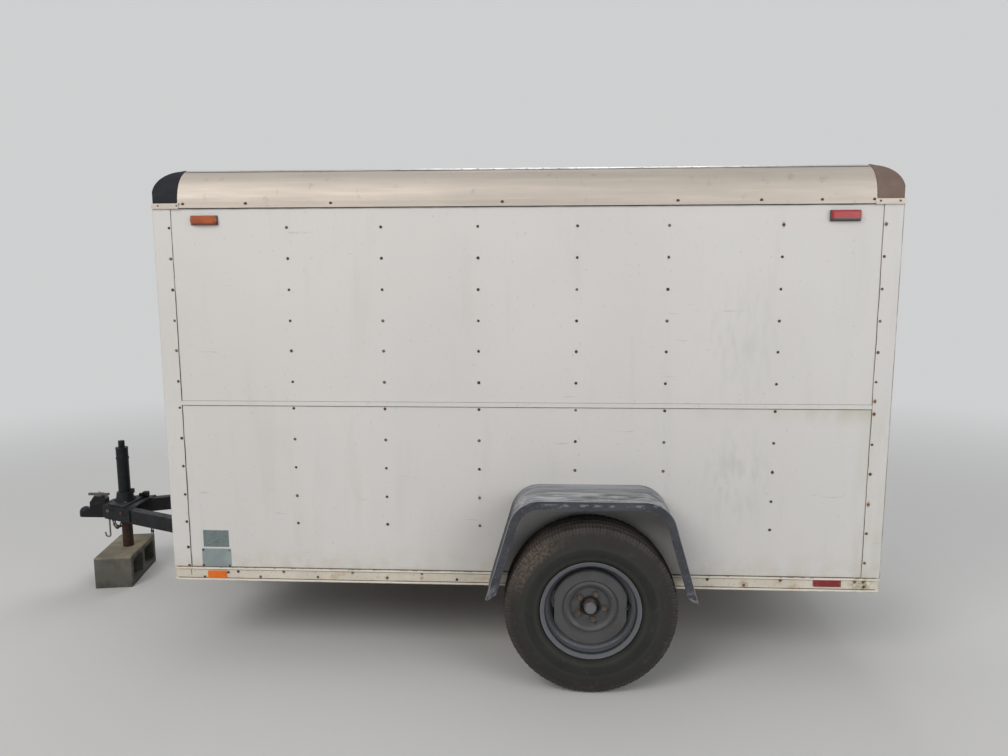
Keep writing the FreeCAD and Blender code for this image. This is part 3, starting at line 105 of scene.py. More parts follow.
class Finish:
    """A procedural finish: one shader whose colour, roughness and bump are built up in layers."""

    def __init__(self, name, color, rough, metal=0.0, coat=0.0, specular=0.5):
        self.material = bpy.data.materials.new(name)
        self.material.use_nodes = True
        self.tree = self.material.node_tree
        self.tree.nodes.clear()
        self.shader = put(self.tree, "ShaderNodeBsdfPrincipled", {
            "Base Color": (*color, 1), "Roughness": rough, "Metallic": metal, "Coat Weight": coat,
            "Specular IOR Level": specular,
        })
        put(self.tree, "ShaderNodeOutputMaterial", {0: self.shader.outputs[0]})
        self.place = put(self.tree, "ShaderNodeTexCoord").outputs["Object"]
        self.color = (*color, 1)
        self.rough = rough
        self.normal = None

    def at(self, centre=(0, 0, 0), stretch=(1, 1, 1)):
        """Object coordinates measured from a centre and stretched."""
        moved = first(self.tree, "ShaderNodeVectorMath", {0: self.place, 1: centre}, operation="SUBTRACT")
        return first(self.tree, "ShaderNodeVectorMath", {0: moved, 1: stretch}, operation="MULTIPLY")

    def spread(self, value, low, high):
        """0 at the first of two levels and 1 at the second, whichever is higher."""
        return first(self.tree, "ShaderNodeMapRange", {"Value": value, "From Min": low, "From Max": high},
                     interpolation_type="SMOOTHSTEP")

    def cloud(self, scale, low, high, stretch=(1, 1, 1), detail=4.0, rough=0.55, centre=(0, 0, 0)):
        """Soft noise, spread between two levels."""
        noise = first(self.tree, "ShaderNodeTexNoise", {
            "Vector": self.at(centre, stretch), "Scale": scale, "Detail": detail, "Roughness": rough,
        })
        return self.spread(noise, low, high)

    def spots(self, scale, low, high):
        """Cell distance, spread between two levels."""
        cells = first(self.tree, "ShaderNodeTexVoronoi", {"Vector": self.at(), "Scale": scale})
        return self.spread(cells, low, high)

    def part(self, letter, place):
        """One of a place's three numbers."""
        return put(self.tree, "ShaderNodeSeparateXYZ", {0: place}).outputs["XYZ".index(letter)]

    def axis(self, letter, low, high):
        """How far along an axis a point is, spread between two places."""
        return self.spread(self.part(letter, self.place), low, high)

    def within(self, letter, start, full, fade, end):
        """1 along a stretch of an axis, with soft ends."""
        return self.both(self.axis(letter, start, full), self.axis(letter, end, fade))

    def aside(self, low, high):
        """How far out to either side a point is, spread between two distances."""
        return self.spread(calc(self.tree, "ABSOLUTE", self.part("Y", self.place)), low, high)

    def upward(self, low, high):
        """How far the surface faces up, spread between two levels."""
        normal = put(self.tree, "ShaderNodeTexCoord").outputs["Normal"]
        return self.spread(self.part("Z", normal), low, high)

    def near(self, centre, inner, outer, stretch=(1, 0, 0.7)):
        """1 close to a point, 0 beyond."""
        length = put(self.tree, "ShaderNodeVectorMath", {0: self.at(centre, stretch)}, operation="LENGTH")
        return self.spread(length.outputs["Value"], outer, inner)

    def ring(self, low, high):
        """How far a point is from the wheels' axis, spread between two radii."""
        return self.near(WHEEL_AXIS, high, low, (1, 0, 1))

    def band(self, radius, inside, outside):
        """1 at a radius of the wheel, fading over a reach to either side."""
        return self.both(self.ring(radius - inside, radius), self.ring(radius + outside, radius))

    def stripes(self, count, low, high):
        """Bars across a wheel, so many in a turn, from one share of the pitch to another."""
        place = self.at(WHEEL_AXIS)
        angle = calc(self.tree, "ARCTAN2", self.part("Z", place), self.part("X", place))
        share = calc(self.tree, "FRACT", self.both(angle, count / (2 * math.pi)))
        return self.both(self.spread(share, low, low + 0.07), self.spread(share, high, high - 0.07))

    def both(self, *shares):
        """Shares multiplied together."""
        total = shares[0]
        for share in shares[1:]:
            total = calc(self.tree, "MULTIPLY", total, share)
        return total

    def lay(self, share, color, amount=1.0):
        """Lay a colour over the finish where share is high."""
        if amount != 1.0:
            share = self.both(share, amount)
        mix = put(self.tree, "ShaderNodeMix", {0: share, 6: self.color, 7: (*color, 1)}, data_type="RGBA")
        self.color = mix.outputs[2]
        self.tree.links.new(self.color, self.shader.inputs["Base Color"])

    def dull(self, share, rough):
        """Move the roughness towards another value where share is high."""
        self.rough = first(self.tree, "ShaderNodeMix", {0: share, 2: self.rough, 3: rough}, data_type="FLOAT")
        self.tree.links.new(self.rough, self.shader.inputs["Roughness"])

    def emboss(self, height, strength, depth):
        """Add a bump of a real depth in metres."""
        wires = {"Height": height, "Strength": strength, "Distance": depth}
        if self.normal:
            wires["Normal"] = self.normal
        self.normal = first(self.tree, "ShaderNodeBump", wires)
        self.tree.links.new(self.normal, self.shader.inputs["Normal"])


# Finishes

# Rust bleeding from screws: way back from the front, height, reach
RUST_SPOTS = ((2.625, 1.920, 0.011), (2.166, 1.791, 0.008), (1.791, 1.400, 0.008), (3.030, 1.196, 0.01),
              (3.030, 1.142, 0.01), (3.030, 0.753, 0.012), (3.030, 1.920, 0.009), (2.625, 0.888, 0.009),
              (1.379, 0.760, 0.009), (0.973, 1.150, 0.008))
RAIL_SPOTS = ((2.524, 0.386, 0.03), (2.368, 0.410, 0.014), (2.679, 0.411, 0.017), (2.993, 0.410, 0.02),
              (3.032, 0.388, 0.02), (3.029, 0.410, 0.015), (1.121, 0.388, 0.014), (0.811, 0.414, 0.012),
              (0.966, 0.390, 0.013), (0.5, 0.410, 0.01))


def white_enamel(name="white_enamel"):
    f = Finish(name, (0.595, 0.58, 0.56), 0.52, specular=0.4)
    f.lay(f.cloud(0.9, 0.35, 0.7, (1, 1, 0.6)), (0.555, 0.541, 0.521), 0.8)
    f.lay(f.cloud(7.0, 0.52, 0.72, (1.6, 1.6, 0.22), detail=5), (0.5, 0.49, 0.45), 0.28)
    f.lay(f.cloud(60.0, 0.66, 0.74, detail=2), (0.36, 0.34, 0.3), 0.35)
    seam = REAR_X - POST_FLANGE
    belt = BELT_LOW.z
    under = f.both(f.within("Z", belt - 0.09, belt - 0.005, belt - 0.001, belt + 0.004),
                   f.within("X", REAR_X - 1.1, REAR_X - 0.2, seam - 0.002, seam))
    f.lay(f.both(under, f.cloud(9.0, 0.3, 0.7, (1, 1, 0.3))), (0.36, 0.35, 0.22), 0.4)
    moss = f.both(f.axis("X", seam - 0.07, seam - 0.004), f.axis("Z", belt + 0.1, belt - 0.2))
    f.lay(f.both(moss, f.cloud(11.0, 0.35, 0.65, (1, 1, 0.25))), (0.4, 0.4, 0.3), 0.4)
    corner = f.both(f.axis("X", REAR_X - 0.0052, REAR_X - 0.0038), f.aside(HALF - 0.0068, HALF - 0.0054))
    f.lay(f.both(corner, f.cloud(16.0, 0.3, 0.6, (1, 1, 0.5), detail=5)), (0.2, 0.125, 0.085), 0.75)
    for x, z, reach, amount in ((2.48, 0.86, 0.2, 0.4), (2.475, 1.45, 0.26, 0.22)):
        stain = f.near((FRONT_X + x, 0, z), 0.02, reach)
        f.lay(f.both(stain, f.cloud(34.0, 0.42, 0.66, (1, 1, 0.3))), (0.4, 0.4, 0.37), amount)
    for x, z, reach in RUST_SPOTS:
        f.lay(f.near((FRONT_X + x, 0, z), reach * 0.3, reach, (1, 0, 0.62)), (0.4, 0.17, 0.05), 0.7)
    scuffs = f.cloud(5.0, 0.66, 0.71, (0.9, 0.9, 9), detail=6, rough=0.6, centre=(0.37, 0.2, 0.11))
    f.lay(scuffs, (0.34, 0.33, 0.31), 0.5)
    low = f.axis("Z", 0.56, 0.43)
    f.lay(f.both(low, f.cloud(14.0, 0.35, 0.7)), (0.47, 0.42, 0.33), 0.45)
    f.dull(f.cloud(5.0, 0.3, 0.7), 0.55)
    f.emboss(f.cloud(2.6, 0.2, 0.8, (1, 1, 1.3), detail=1), 0.35, 0.004)
    f.emboss(f.cloud(220.0, 0.2, 0.8, detail=1), 0.12, 0.0004)
    return f


def skin_finish():
    """White enamel outside, plywood inside."""
    f = white_enamel("white_skin")
    inside = f.both(f.aside(HALF - 0.0365, HALF - 0.0375), f.axis("X", FRONT_X + 0.0365, FRONT_X + 0.0375))
    grain = f.cloud(9.0, 0.35, 0.65, (1, 1, 14), detail=6)
    f.lay(inside, (0.42, 0.29, 0.17))
    f.lay(f.both(inside, grain), (0.3, 0.19, 0.1), 0.6)
    return f


def rail_finish():
    """Oxidised white extrusion with rust bleeding down, and painted highlights along the bead and the lip."""
    f = Finish("rail_white", (0.6, 0.555, 0.475), 0.55, specular=0.4)
    f.lay(f.cloud(5.0, 0.4, 0.65), (0.52, 0.48, 0.4), 0.7)
    f.lay(f.cloud(16.0, 0.56, 0.7, (1, 1, 1.4), detail=6), (0.42, 0.27, 0.12), 0.5)
    f.lay(f.cloud(90.0, 0.6, 0.72, detail=3), (0.3, 0.25, 0.17), 0.5)
    for x, z, reach in RAIL_SPOTS:
        halo = f.near((FRONT_X + x, 0, z), reach * 0.15, reach)
        f.lay(f.both(halo, f.cloud(60.0, 0.3, 0.6)), (0.3, 0.15, 0.05), 0.7)
    green = f.near((REAR_X - 0.08, 0, 0.402), 0.02, 0.075, (1, 0, 1.3))
    f.lay(f.both(green, f.cloud(70.0, 0.42, 0.6, detail=5)), (0.2, 0.2, 0.07), 0.6)
    top = TRIM_HIGH.z
    moss = f.within("Z", top - 0.006, top - 0.001, top + 0.004, top + 0.01)
    f.lay(f.both(moss, f.cloud(45.0, 0.5, 0.62, detail=6)), (0.22, 0.15, 0.07), 0.75)
    # Painted highlights: pale lines along the top bead and the bottom lip.
    for z in (top - 0.0045, TRIM_LOW.z + 0.0055):
        f.lay(f.within("Z", z - 0.004, z - 0.001, z + 0.001, z + 0.004), (0.74, 0.72, 0.66), 0.6)
    foot = f.axis("Z", TRIM_LOW.z + 0.0035, TRIM_LOW.z + 0.001)
    f.lay(f.both(foot, f.cloud(30.0, 0.35, 0.6)), (0.33, 0.25, 0.15), 0.6)
    f.dull(f.cloud(20.0, 0.4, 0.7), 0.7)
    f.emboss(f.cloud(120.0, 0.3, 0.8), 0.2, 0.0006)
    return f


def cove_finish():
    """Mill aluminium, drawn along its length, with a warm dull film."""
    f = Finish("cove_metal", (0.52, 0.465, 0.41), 0.58, metal=0.62)
    f.lay(f.cloud(3.0, 0.35, 0.7, (0.5, 1, 1)), (0.46, 0.412, 0.365), 0.8)
    f.lay(f.cloud(40.0, 0.45, 0.7, (0.05, 1, 1), detail=6), (0.64, 0.58, 0.51), 0.35)
    f.lay(f.cloud(22.0, 0.6, 0.72, (1, 1, 0.7), detail=5), (0.33, 0.29, 0.25), 0.35)
    f.dull(f.cloud(60.0, 0.3, 0.7, (0.08, 1, 1)), 0.66)
    f.emboss(f.cloud(400.0, 0.2, 0.8, (0.03, 1, 1), detail=2), 0.25, 0.0003)
    f.emboss(f.cloud(1.7, 0.2, 0.8, detail=1), 0.4, 0.004)
    return f


def roof_finish():
    f = Finish("roof_metal", (0.55, 0.55, 0.54), 0.45, metal=0.85)
    f.lay(f.cloud(2.2, 0.35, 0.7), (0.42, 0.41, 0.39), 0.8)
    f.lay(f.cloud(18.0, 0.5, 0.75, detail=6), (0.25, 0.23, 0.19), 0.5)
    f.dull(f.cloud(12.0, 0.3, 0.7), 0.62)
    f.emboss(f.cloud(1.4, 0.2, 0.8, detail=1), 0.5, 0.006)
    return f


def cap_finish():
    """Faded brown moulded plastic, nearly black at the front."""
    f = Finish("cap_brown", (0.15, 0.105, 0.085), 0.7, specular=0.25)
    f.lay(f.cloud(8.0, 0.35, 0.7), (0.19, 0.135, 0.11), 0.7)
    front = f.axis("X", FRONT_X + 0.5, FRONT_X + 0.3)
    f.lay(front, (0.012, 0.014, 0.018))
    back = f.axis("X", FRONT_X + 0.5, FRONT_X + 0.8)
    f.lay(f.both(back, f.cloud(45.0, 0.55, 0.75, detail=5)), (0.26, 0.2, 0.17), 0.25)
    f.dull(f.cloud(30.0, 0.3, 0.7), 0.8)
    f.emboss(f.cloud(300.0, 0.3, 0.7), 0.3, 0.0004)
    return f


def worn_black_with_sky_sheen(name, base=(0.0105, 0.011, 0.0128), rust=0.3, dust=0.22):
    """Brushed-on black paint over steel, with rust blooms and road dust, and a painted bluish sky sheen on
    faces that look up.
    """
    f = Finish(name, base, 0.46, specular=0.22)
    f.lay(f.cloud(10.0, 0.45, 0.7), tuple(c * 1.8 for c in base), 0.7)
    f.lay(f.cloud(26.0, 0.6, 0.7, detail=7, rough=0.65), (0.05, 0.024, 0.015), rust)
    f.lay(f.cloud(80.0, 0.6, 0.7, detail=4), (0.11, 0.1, 0.09), dust)
    # Painted sky reflection: faces that look up are laid a lighter blue-grey.
    f.lay(f.both(f.upward(0.5, 0.95), f.cloud(7.0, 0.35, 0.7, detail=6)), (0.055, 0.06, 0.074), 0.6)
    f.dull(f.cloud(26.0, 0.5, 0.68, detail=7, rough=0.65), 0.85)
    f.emboss(f.cloud(150.0, 0.3, 0.7, detail=4), 0.3, 0.0006)
    return f


def latch_finish():
    """Worn black housing with a bare steel lever and knob over it; the knob's pale grey is a painted
    highlight.
    """
    f = worn_black_with_sky_sheen("latch_black")
    bare = f.axis("Z", BAR_Z - 0.002, BAR_Z)
    f.lay(bare, (0.11, 0.105, 0.1))
    f.lay(f.both(bare, f.cloud(90.0, 0.45, 0.65, detail=5)), (0.07, 0.045, 0.035), 0.7)
    # Painted highlight: the knob is laid pale grey.
    f.lay(f.axis("Z", BAR_Z + 0.013, BAR_Z + 0.0145), (0.42, 0.41, 0.4))
    return f


def fender_finish():
    """Weathered black sheet: top faces laid lighter as painted sky light, chalky streaks along the top's
    outer half, painted highlights along the bead and the fold, legs with worn edges.
    """
    f = Finish("fender_black", (0.034, 0.037, 0.044), 0.5, specular=0.3)
    f.lay(f.cloud(12.0, 0.4, 0.7, (0.5, 1, 1)), (0.06, 0.064, 0.073), 0.8)
    top = f.upward(0.25, 0.85)
    streak = f.cloud(20.0, 0.4, 0.6, (0.13, 1, 1), detail=8, rough=0.72)
    # Painted light: the faces that look up are laid a lighter blue-grey.
    f.lay(top, (0.16, 0.166, 0.18), 0.85)
    f.lay(f.both(top, streak), (0.36, 0.37, 0.39), 0.75)
    outer = f.both(top, f.aside(HALF + 0.07, HALF + 0.2))
    fine = f.cloud(48.0, 0.47, 0.62, (0.16, 1, 1), detail=8, rough=0.7)
    f.lay(f.both(outer, fine), (0.55, 0.55, 0.55), 0.75)
    stain = f.cloud(9.0, 0.5, 0.64, (0.4, 1, 1), detail=6, centre=(2, 5, 1))
    f.lay(f.both(top, stain), (0.07, 0.066, 0.064), 0.8)
    f.lay(f.cloud(130.0, 0.64, 0.7, detail=3), (0.3, 0.3, 0.31), 0.5)
    # Painted highlight along the rolled bead at the top's outer edge.
    rim = f.both(f.aside(HALF + 0.2535, HALF + 0.2555), f.aside(HALF + 0.2594, HALF + 0.2588))
    f.lay(f.both(rim, f.cloud(30.0, 0.2, 0.5, detail=5)), (0.38, 0.39, 0.41), 0.85)
    # Pale flecked line under the fold: chalky flecks and a painted highlight of the fold.
    fold_flecks_and_highlight = f.both(f.within("Z", 0.803, 0.808, 0.813, 0.819), f.aside(HALF + 0.2578, HALF + 0.2586))
    f.lay(f.both(fold_flecks_and_highlight, f.cloud(90.0, 0.5, 0.62, (0.35, 1, 1), detail=8)), (0.26, 0.27, 0.29), 0.5)
    edge = f.both(f.axis("Z", 0.5, 0.415), f.cloud(50.0, 0.45, 0.62, detail=5))
    f.lay(edge, (0.26, 0.26, 0.27), 0.55)
    f.dull(streak, 0.72)
    f.emboss(f.cloud(24.0, 0.3, 0.7, (0.16, 1, 1), detail=7, rough=0.7), 0.35, 0.0012)
    return f


def rubber_finish():
    """Dusty tyre rubber, browner on the tread and shoulders, most of all where mud dried on, with painted
    shade for sipes round the crown.
    """
    f = Finish("tyre_rubber", (0.0175, 0.0177, 0.0158), 0.72, specular=0.25)
    f.lay(f.cloud(5.0, 0.35, 0.7), (0.025, 0.0252, 0.022), 0.9)
    f.lay(f.ring(0.279, 0.286), (0.03, 0.0275, 0.0245), 0.8)
    crown = f.ring(0.322, 0.345)
    f.lay(f.both(crown, f.cloud(14.0, 0.25, 0.55, detail=6)), (0.052, 0.046, 0.041), 0.85)
    patch = f.both(f.near((WHEEL_X - 0.25, 0, WHEEL_Z + 0.2), 0.04, 0.19, (1, 0, 1)), f.ring(0.282, 0.305),
                   f.cloud(95.0, 0.4, 0.62, detail=8, rough=0.8))
    f.lay(patch, (0.13, 0.1, 0.078), 0.88)
    # Painted shade: dark bars round the crown stand in for sipes that the mesh doesn't cut.
    f.lay(f.both(f.ring(0.335, 0.343), f.stripes(156, 0.5, 0.78)), (0.01, 0.01, 0.01), 0.65)
    f.lay(f.both(f.ring(0.24, 0.33), f.cloud(22.0, 0.57, 0.72, detail=8)), (0.06, 0.047, 0.037), 0.7)
    for radius in (0.228, 0.276):
        f.lay(f.band(radius, 0.012, 0.014), (0.034, 0.034, 0.03), 0.7)
    f.lay(f.cloud(55.0, 0.62, 0.74, detail=5), (0.07, 0.063, 0.053), 0.35)
    f.dull(f.cloud(9.0, 0.3, 0.7), 0.88)
    f.emboss(f.cloud(160.0, 0.3, 0.7, detail=3), 0.25, 0.0006)
    return f


# Rusty edges of the disc and rim: radius, reach, amount
EDGES = ((0.152, 0.005, 0.9), (0.115, 0.004, 0.8), (0.101, 0.003, 0.4), (0.206, 0.003, 0.7))


def wheel_finish():
    """Dark blue-grey wheel paint, laid paler and bluish on the flange as painted light, with a dark ring of
    painted shade in the rim's groove and rust along the edges of the disc.
    """
    f = Finish("wheel_grey", (0.065, 0.067, 0.07), 0.42, specular=0.35)
    f.lay(f.cloud(14.0, 0.4, 0.7), (0.052, 0.053, 0.055), 0.8)
    f.lay(f.ring(0.158, 0.164), (0.1, 0.106, 0.118), 0.85)
    # Painted shade: a dark ring where the rim has a groove.
    groove_shade = f.both(f.aside(HALF + 0.218, HALF + 0.2205), f.aside(HALF + 0.2345, HALF + 0.232))
    f.lay(f.both(groove_shade, f.ring(0.1915, 0.1895)), (0.015, 0.015, 0.016), 0.9)
    # Painted light: the flange is laid paler and bluish all round.
    f.lay(f.ring(0.2, 0.206), (0.15, 0.158, 0.17), 0.6)
    f.lay(f.cloud(40.0, 0.56, 0.7, detail=6), (0.09, 0.082, 0.07), 0.4)
    for radius, reach, share in EDGES:
        edge = f.both(f.band(radius, reach, reach), f.cloud(26.0, 0.42, 0.6, detail=7))
        f.lay(edge, (0.085, 0.052, 0.034), share)
    f.lay(f.both(f.ring(0.16, 0.15), f.cloud(90.0, 0.6, 0.7)), (0.12, 0.1, 0.08), 0.35)
    f.dull(f.cloud(30.0, 0.35, 0.7), 0.6)
    f.emboss(f.cloud(200.0, 0.3, 0.7, detail=3), 0.2, 0.0004)
    return f


def hub_finish():
    """Greasy dark steel cap and flange with rusty nuts round it, and painted shade in the ring between the
    cap and the nuts.
    """
    f = Finish("hub_steel", (0.13, 0.138, 0.15), 0.45, metal=0.3)
    f.lay(f.cloud(60.0, 0.5, 0.7, detail=5), (0.2, 0.18, 0.16), 0.5)
    nuts = f.ring(0.0435, 0.0455)
    f.lay(nuts, (0.075, 0.052, 0.04))
    f.lay(f.both(nuts, f.cloud(110.0, 0.42, 0.62, detail=6)), (0.13, 0.083, 0.055), 0.9)
    f.lay(f.both(nuts, f.cloud(190.0, 0.52, 0.64, detail=4)), (0.22, 0.205, 0.19), 0.6)
    collar = f.both(f.ring(0.0225, 0.0245), f.ring(0.0275, 0.0265))
    f.lay(f.both(collar, f.cloud(70.0, 0.35, 0.6)), (0.12, 0.07, 0.045), 0.8)
    # Painted shade: the ring between the cap and the nuts is laid near black.
    cap_ring_shade = f.both(f.ring(0.0262, 0.0275), f.ring(0.0435, 0.042))
    f.lay(cap_ring_shade, (0.012, 0.011, 0.01), 0.95)
    f.dull(f.cloud(60.0, 0.4, 0.6, detail=5), 0.75)
    f.emboss(f.cloud(260.0, 0.3, 0.7, detail=4), 0.4, 0.0005)
    return f


def rusty_steel(name, rust=(0.14, 0.06, 0.03), steel=(0.09, 0.08, 0.075), share=0.5, bloom=(0.2, 0.11, 0.06)):
    f = Finish(name, steel, 0.55, metal=0.3, specular=0.3)
    f.lay(f.cloud(40.0, 0.62 - share * 0.4, 0.72 - share * 0.3, detail=7, rough=0.65), rust, 0.95)
    f.lay(f.cloud(110.0, 0.5, 0.7, detail=4), bloom, 0.45)
    f.dull(f.cloud(50.0, 0.4, 0.6, detail=6), 0.88)
    f.emboss(f.cloud(240.0, 0.3, 0.7, detail=4), 0.4, 0.0006)
    return f


def screw_finish():
    """Dark screws, with here and there one that has kept its zinc."""
    f = rusty_steel("screw_dark", (0.085, 0.05, 0.032), (0.06, 0.055, 0.05), 0.4)
    f.lay(f.cloud(5.3, 0.535, 0.55, detail=2), (0.2, 0.19, 0.175), 0.6)
    return f


def zinc_finish():
    f = Finish("dull_zinc", (0.5, 0.5, 0.48), 0.45, metal=0.4)
    f.lay(f.spots(70.0, 0.1, 0.6), (0.62, 0.62, 0.61), 0.5)
    f.lay(f.cloud(25.0, 0.5, 0.7, detail=6), (0.2, 0.14, 0.09), 0.5)
    f.dull(f.cloud(20.0, 0.3, 0.7), 0.62)
    f.emboss(f.cloud(160.0, 0.3, 0.7), 0.2, 0.0004)
    return f


def concrete_finish():
    """Weathered grey block, sandy on top and laid lighter there partly as painted light, with moss and damp
    in patches.
    """
    f = Finish("block_concrete", (0.115, 0.113, 0.1), 0.92, specular=0.2)
    f.lay(f.cloud(9.0, 0.38, 0.68, detail=6), (0.17, 0.16, 0.135), 0.8)
    f.lay(f.cloud(6.0, 0.47, 0.66, detail=6, centre=(3, 1, 2)), (0.05, 0.055, 0.042), 0.8)
    # Sandy dust on top, laid lighter than the sides, partly as painted light.
    top = f.axis("Z", 0.160, 0.173)
    f.lay(top, (0.22, 0.205, 0.165), 0.8)
    f.lay(f.both(top, f.cloud(8.0, 0.36, 0.6, detail=7)), (0.34, 0.285, 0.19), 0.7)
    f.lay(f.both(f.axis("Z", 0.05, 0.005), f.cloud(12.0, 0.3, 0.6)), (0.045, 0.042, 0.033), 0.7)
    f.lay(f.spots(260.0, 0.34, 0.16), (0.3, 0.28, 0.24), 0.3)
    f.emboss(f.cloud(90.0, 0.3, 0.7, detail=7, rough=0.7), 0.7, 0.004)
    f.emboss(f.spots(150.0, 0.1, 0.45), 0.5, 0.0018)
    return f


def plywood_finish():
    f = Finish("deck_plywood", (0.3, 0.21, 0.125), 0.78)
    f.lay(f.cloud(7.0, 0.35, 0.65, (14, 1, 14), detail=6), (0.2, 0.13, 0.075), 0.6)
    f.lay(f.cloud(2.5, 0.4, 0.7), (0.16, 0.12, 0.085), 0.5)
    f.emboss(f.cloud(30.0, 0.3, 0.7, (8, 0.6, 8), detail=5), 0.3, 0.0008)
    return f


def lens_finish(name, color, deep, foot=None):
    """Coloured moulded lens, ribbed inside, slightly sun-bleached, some with a grey foot."""
    f = Finish(name, color, 0.3, coat=0.12, specular=0.4)
    f.shader.inputs["Transmission Weight"].default_value = 0.1
    f.lay(f.cloud(20.0, 0.4, 0.7), deep, 0.7)
    wave = put(f.tree, "ShaderNodeTexWave", {"Vector": f.place, "Scale": 55.0, "Distortion": 0.0},
               bands_direction="X")
    f.lay(f.spread(wave.outputs["Fac"], 0.3, 0.9), deep, 0.35)
    if foot:
        f.lay(f.axis("Z", foot + 0.001, foot - 0.001), (0.11, 0.085, 0.075), 0.9)
    f.emboss(f.spread(wave.outputs["Fac"], 0.2, 0.8), 0.3, 0.0006)
    f.emboss(f.cloud(90.0, 0.3, 0.7), 0.08, 0.0004)
    return f


def plain_finish(name, color, rough, metal=0.0, grain=150.0):
    f = Finish(name, color, rough, metal)
    f.lay(f.cloud(grain / 6, 0.4, 0.7), tuple(c * 0.7 for c in color), 0.6)
    f.dull(f.cloud(grain / 4, 0.35, 0.7), min(1.0, rough + 0.2))
    f.emboss(f.cloud(grain, 0.3, 0.7), 0.25, 0.0005)
    return f


def speckle_finish():
    """Grey-green reflective patch with pale speckles."""
    f = Finish("speckled_patch", (0.11, 0.145, 0.145), 0.6)
    f.lay(f.spots(330.0, 0.42, 0.2), (0.32, 0.38, 0.37), 0.75)
    f.lay(f.cloud(30.0, 0.5, 0.7), (0.06, 0.085, 0.09), 0.5)
    return f


SKIN = skin_finish()
ENAMEL = white_enamel()
RAIL = rail_finish()
COVE = cove_finish()
ROOF = roof_finish()
CAP = cap_finish()
FRAME = worn_black_with_sky_sheen("frame_black")
JACK = worn_black_with_sky_sheen("jack_black", (0.009, 0.0105, 0.012), 0.25, 0.15)
COUPLER = worn_black_with_sky_sheen("coupler_black", (0.0075, 0.0083, 0.01), 0.35, 0.12)
LATCH = latch_finish()
FENDER = fender_finish()
RUBBER = rubber_finish()
WHEEL = wheel_finish()
HUB = hub_finish()
SPRING = rusty_steel("spring_steel", share=0.3)
LEG = rusty_steel("leg_rust", (0.06, 0.03, 0.02), (0.03, 0.022, 0.018), 0.6, (0.09, 0.052, 0.032))
ZINC = zinc_finish()
CHAIN = rusty_steel("chain_steel", (0.09, 0.055, 0.035), (0.22, 0.215, 0.205), 0.35, (0.3, 0.29, 0.27))
CONCRETE = concrete_finish()
PLYWOOD = plywood_finish()
AMBER = lens_finish("reflector_amber", (0.8, 0.17, 0.004), (0.6, 0.1, 0.003))
AMBER_LAMP = lens_finish("lamp_amber", (0.42, 0.095, 0.02), (0.22, 0.045, 0.015))
RED = lens_finish("lamp_red", (0.32, 0.026, 0.026), (0.16, 0.013, 0.015))
RED_LAMP = lens_finish("lamp_red_faded", (0.44, 0.028, 0.034), (0.26, 0.013, 0.017), COVE_Z - 0.0615)
SCREW = screw_finish()
BROWN_SCREW = rusty_steel("screw_brown", (0.12, 0.068, 0.038), (0.17, 0.145, 0.105), 0.45)
SEALANT = plain_finish("seam_sealant", (0.04, 0.034, 0.03), 0.7)
RUSTY_SEAM_AND_SHADE = plain_finish("seam_rust_and_shade", (0.095, 0.062, 0.04), 0.8)
TAN_SEAM = plain_finish("seam_tan", (0.36, 0.31, 0.26), 0.8)
SHADOW = plain_finish("lap_shadow", (0.03, 0.028, 0.026), 0.85)
SPECKLE = speckle_finish()
PLATE = plain_finish("bare_plate", (0.29, 0.345, 0.345), 0.5, 0.4, 60.0)
GASKET = plain_finish("gasket_rubber", (0.02, 0.02, 0.021), 0.75)
BASE = plain_finish("lamp_base", (0.09, 0.085, 0.08), 0.6)

# What each of the frame's nodes wears
NODE_FINISHES = (
    (FRAME, "frame_rail_left frame_rail_right tongue_rail_left tongue_rail_right cross_members "
            "axle_beam spring_hangers"),
    (SKIN, "side_wall_lower_left side_wall_lower_right side_wall_upper_left side_wall_upper_right "
           "front_wall_lower front_wall_upper"),
    (ENAMEL, "corner_posts_front corner_posts_rear belt_trims rear_frame rear_door_left rear_door_right"),
    (PLYWOOD, "floor_deck"), (RAIL, "bottom_rails"), (COVE, "side_coves end_coves"), (ROOF, "roof_panel"),
    (CAP, "corner_caps"), (ZINC, "lock_bar_left lock_bar_right"), (FENDER, "fender_left fender_right"),
    (SPRING, "leaf_springs"), (RUBBER, "tyre_left tyre_right"), (WHEEL, "rim_left rim_right"),
    (HUB, "hub_left hub_right"), (COUPLER, "coupler"), (LATCH, "coupler_latch"),
    (JACK, "jack_tube jack_flange"), (LEG, "jack_leg"), (CONCRETE, "support_block"), (CHAIN, "safety_chains"),
    (AMBER_LAMP, "marker_lamps_amber"), (RED_LAMP, "marker_lamps_red"), (AMBER, "reflectors_amber"),
    (RED, "reflectors_red tail_lamps"),
)
for finish, names in NODE_FINISHES:
    for name in names.split():
        materials = frame["nodes"][name].data.materials
        materials.clear()
        materials.append(finish.material)


# Mesh helpers

def shown(name, data):
    """A new object in the scene."""
    obj = bpy.data.objects.new(name, data)
    bpy.context.scene.collection.objects.link(obj)
    return obj


def piece_of(name, mesh, body, finish=None):
    """A finished piece that rides on a body."""
    obj = shown(name, mesh)
    if finish:
        mesh.materials.append(finish.material)
    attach(obj, body)
    return obj


def baked(name, form, body, finish):
    """A piece from a bmesh."""
    bmesh.ops.recalc_face_normals(form, faces=form.faces)
    mesh = bpy.data.meshes.new(name)
    form.to_mesh(mesh)
    form.free()
    return piece_of(name, mesh, body, finish)


def add_block(form, low, high, bevel):
    """Add a box with bevelled edges to a bmesh."""
    verts = bmesh.ops.create_cube(form, size=1.0)["verts"]
    size = Vector(high) - Vector(low)
    middle = (Vector(high) + Vector(low)) / 2
    for v in verts:
        v.co = Vector(v.co[i] * abs(size[i]) for i in range(3)) + middle
    edges = {e for v in verts for e in v.link_edges}
    bmesh.ops.bevel(form, geom=list(edges), offset=bevel, segments=2, affect="EDGES", profile=0.6)


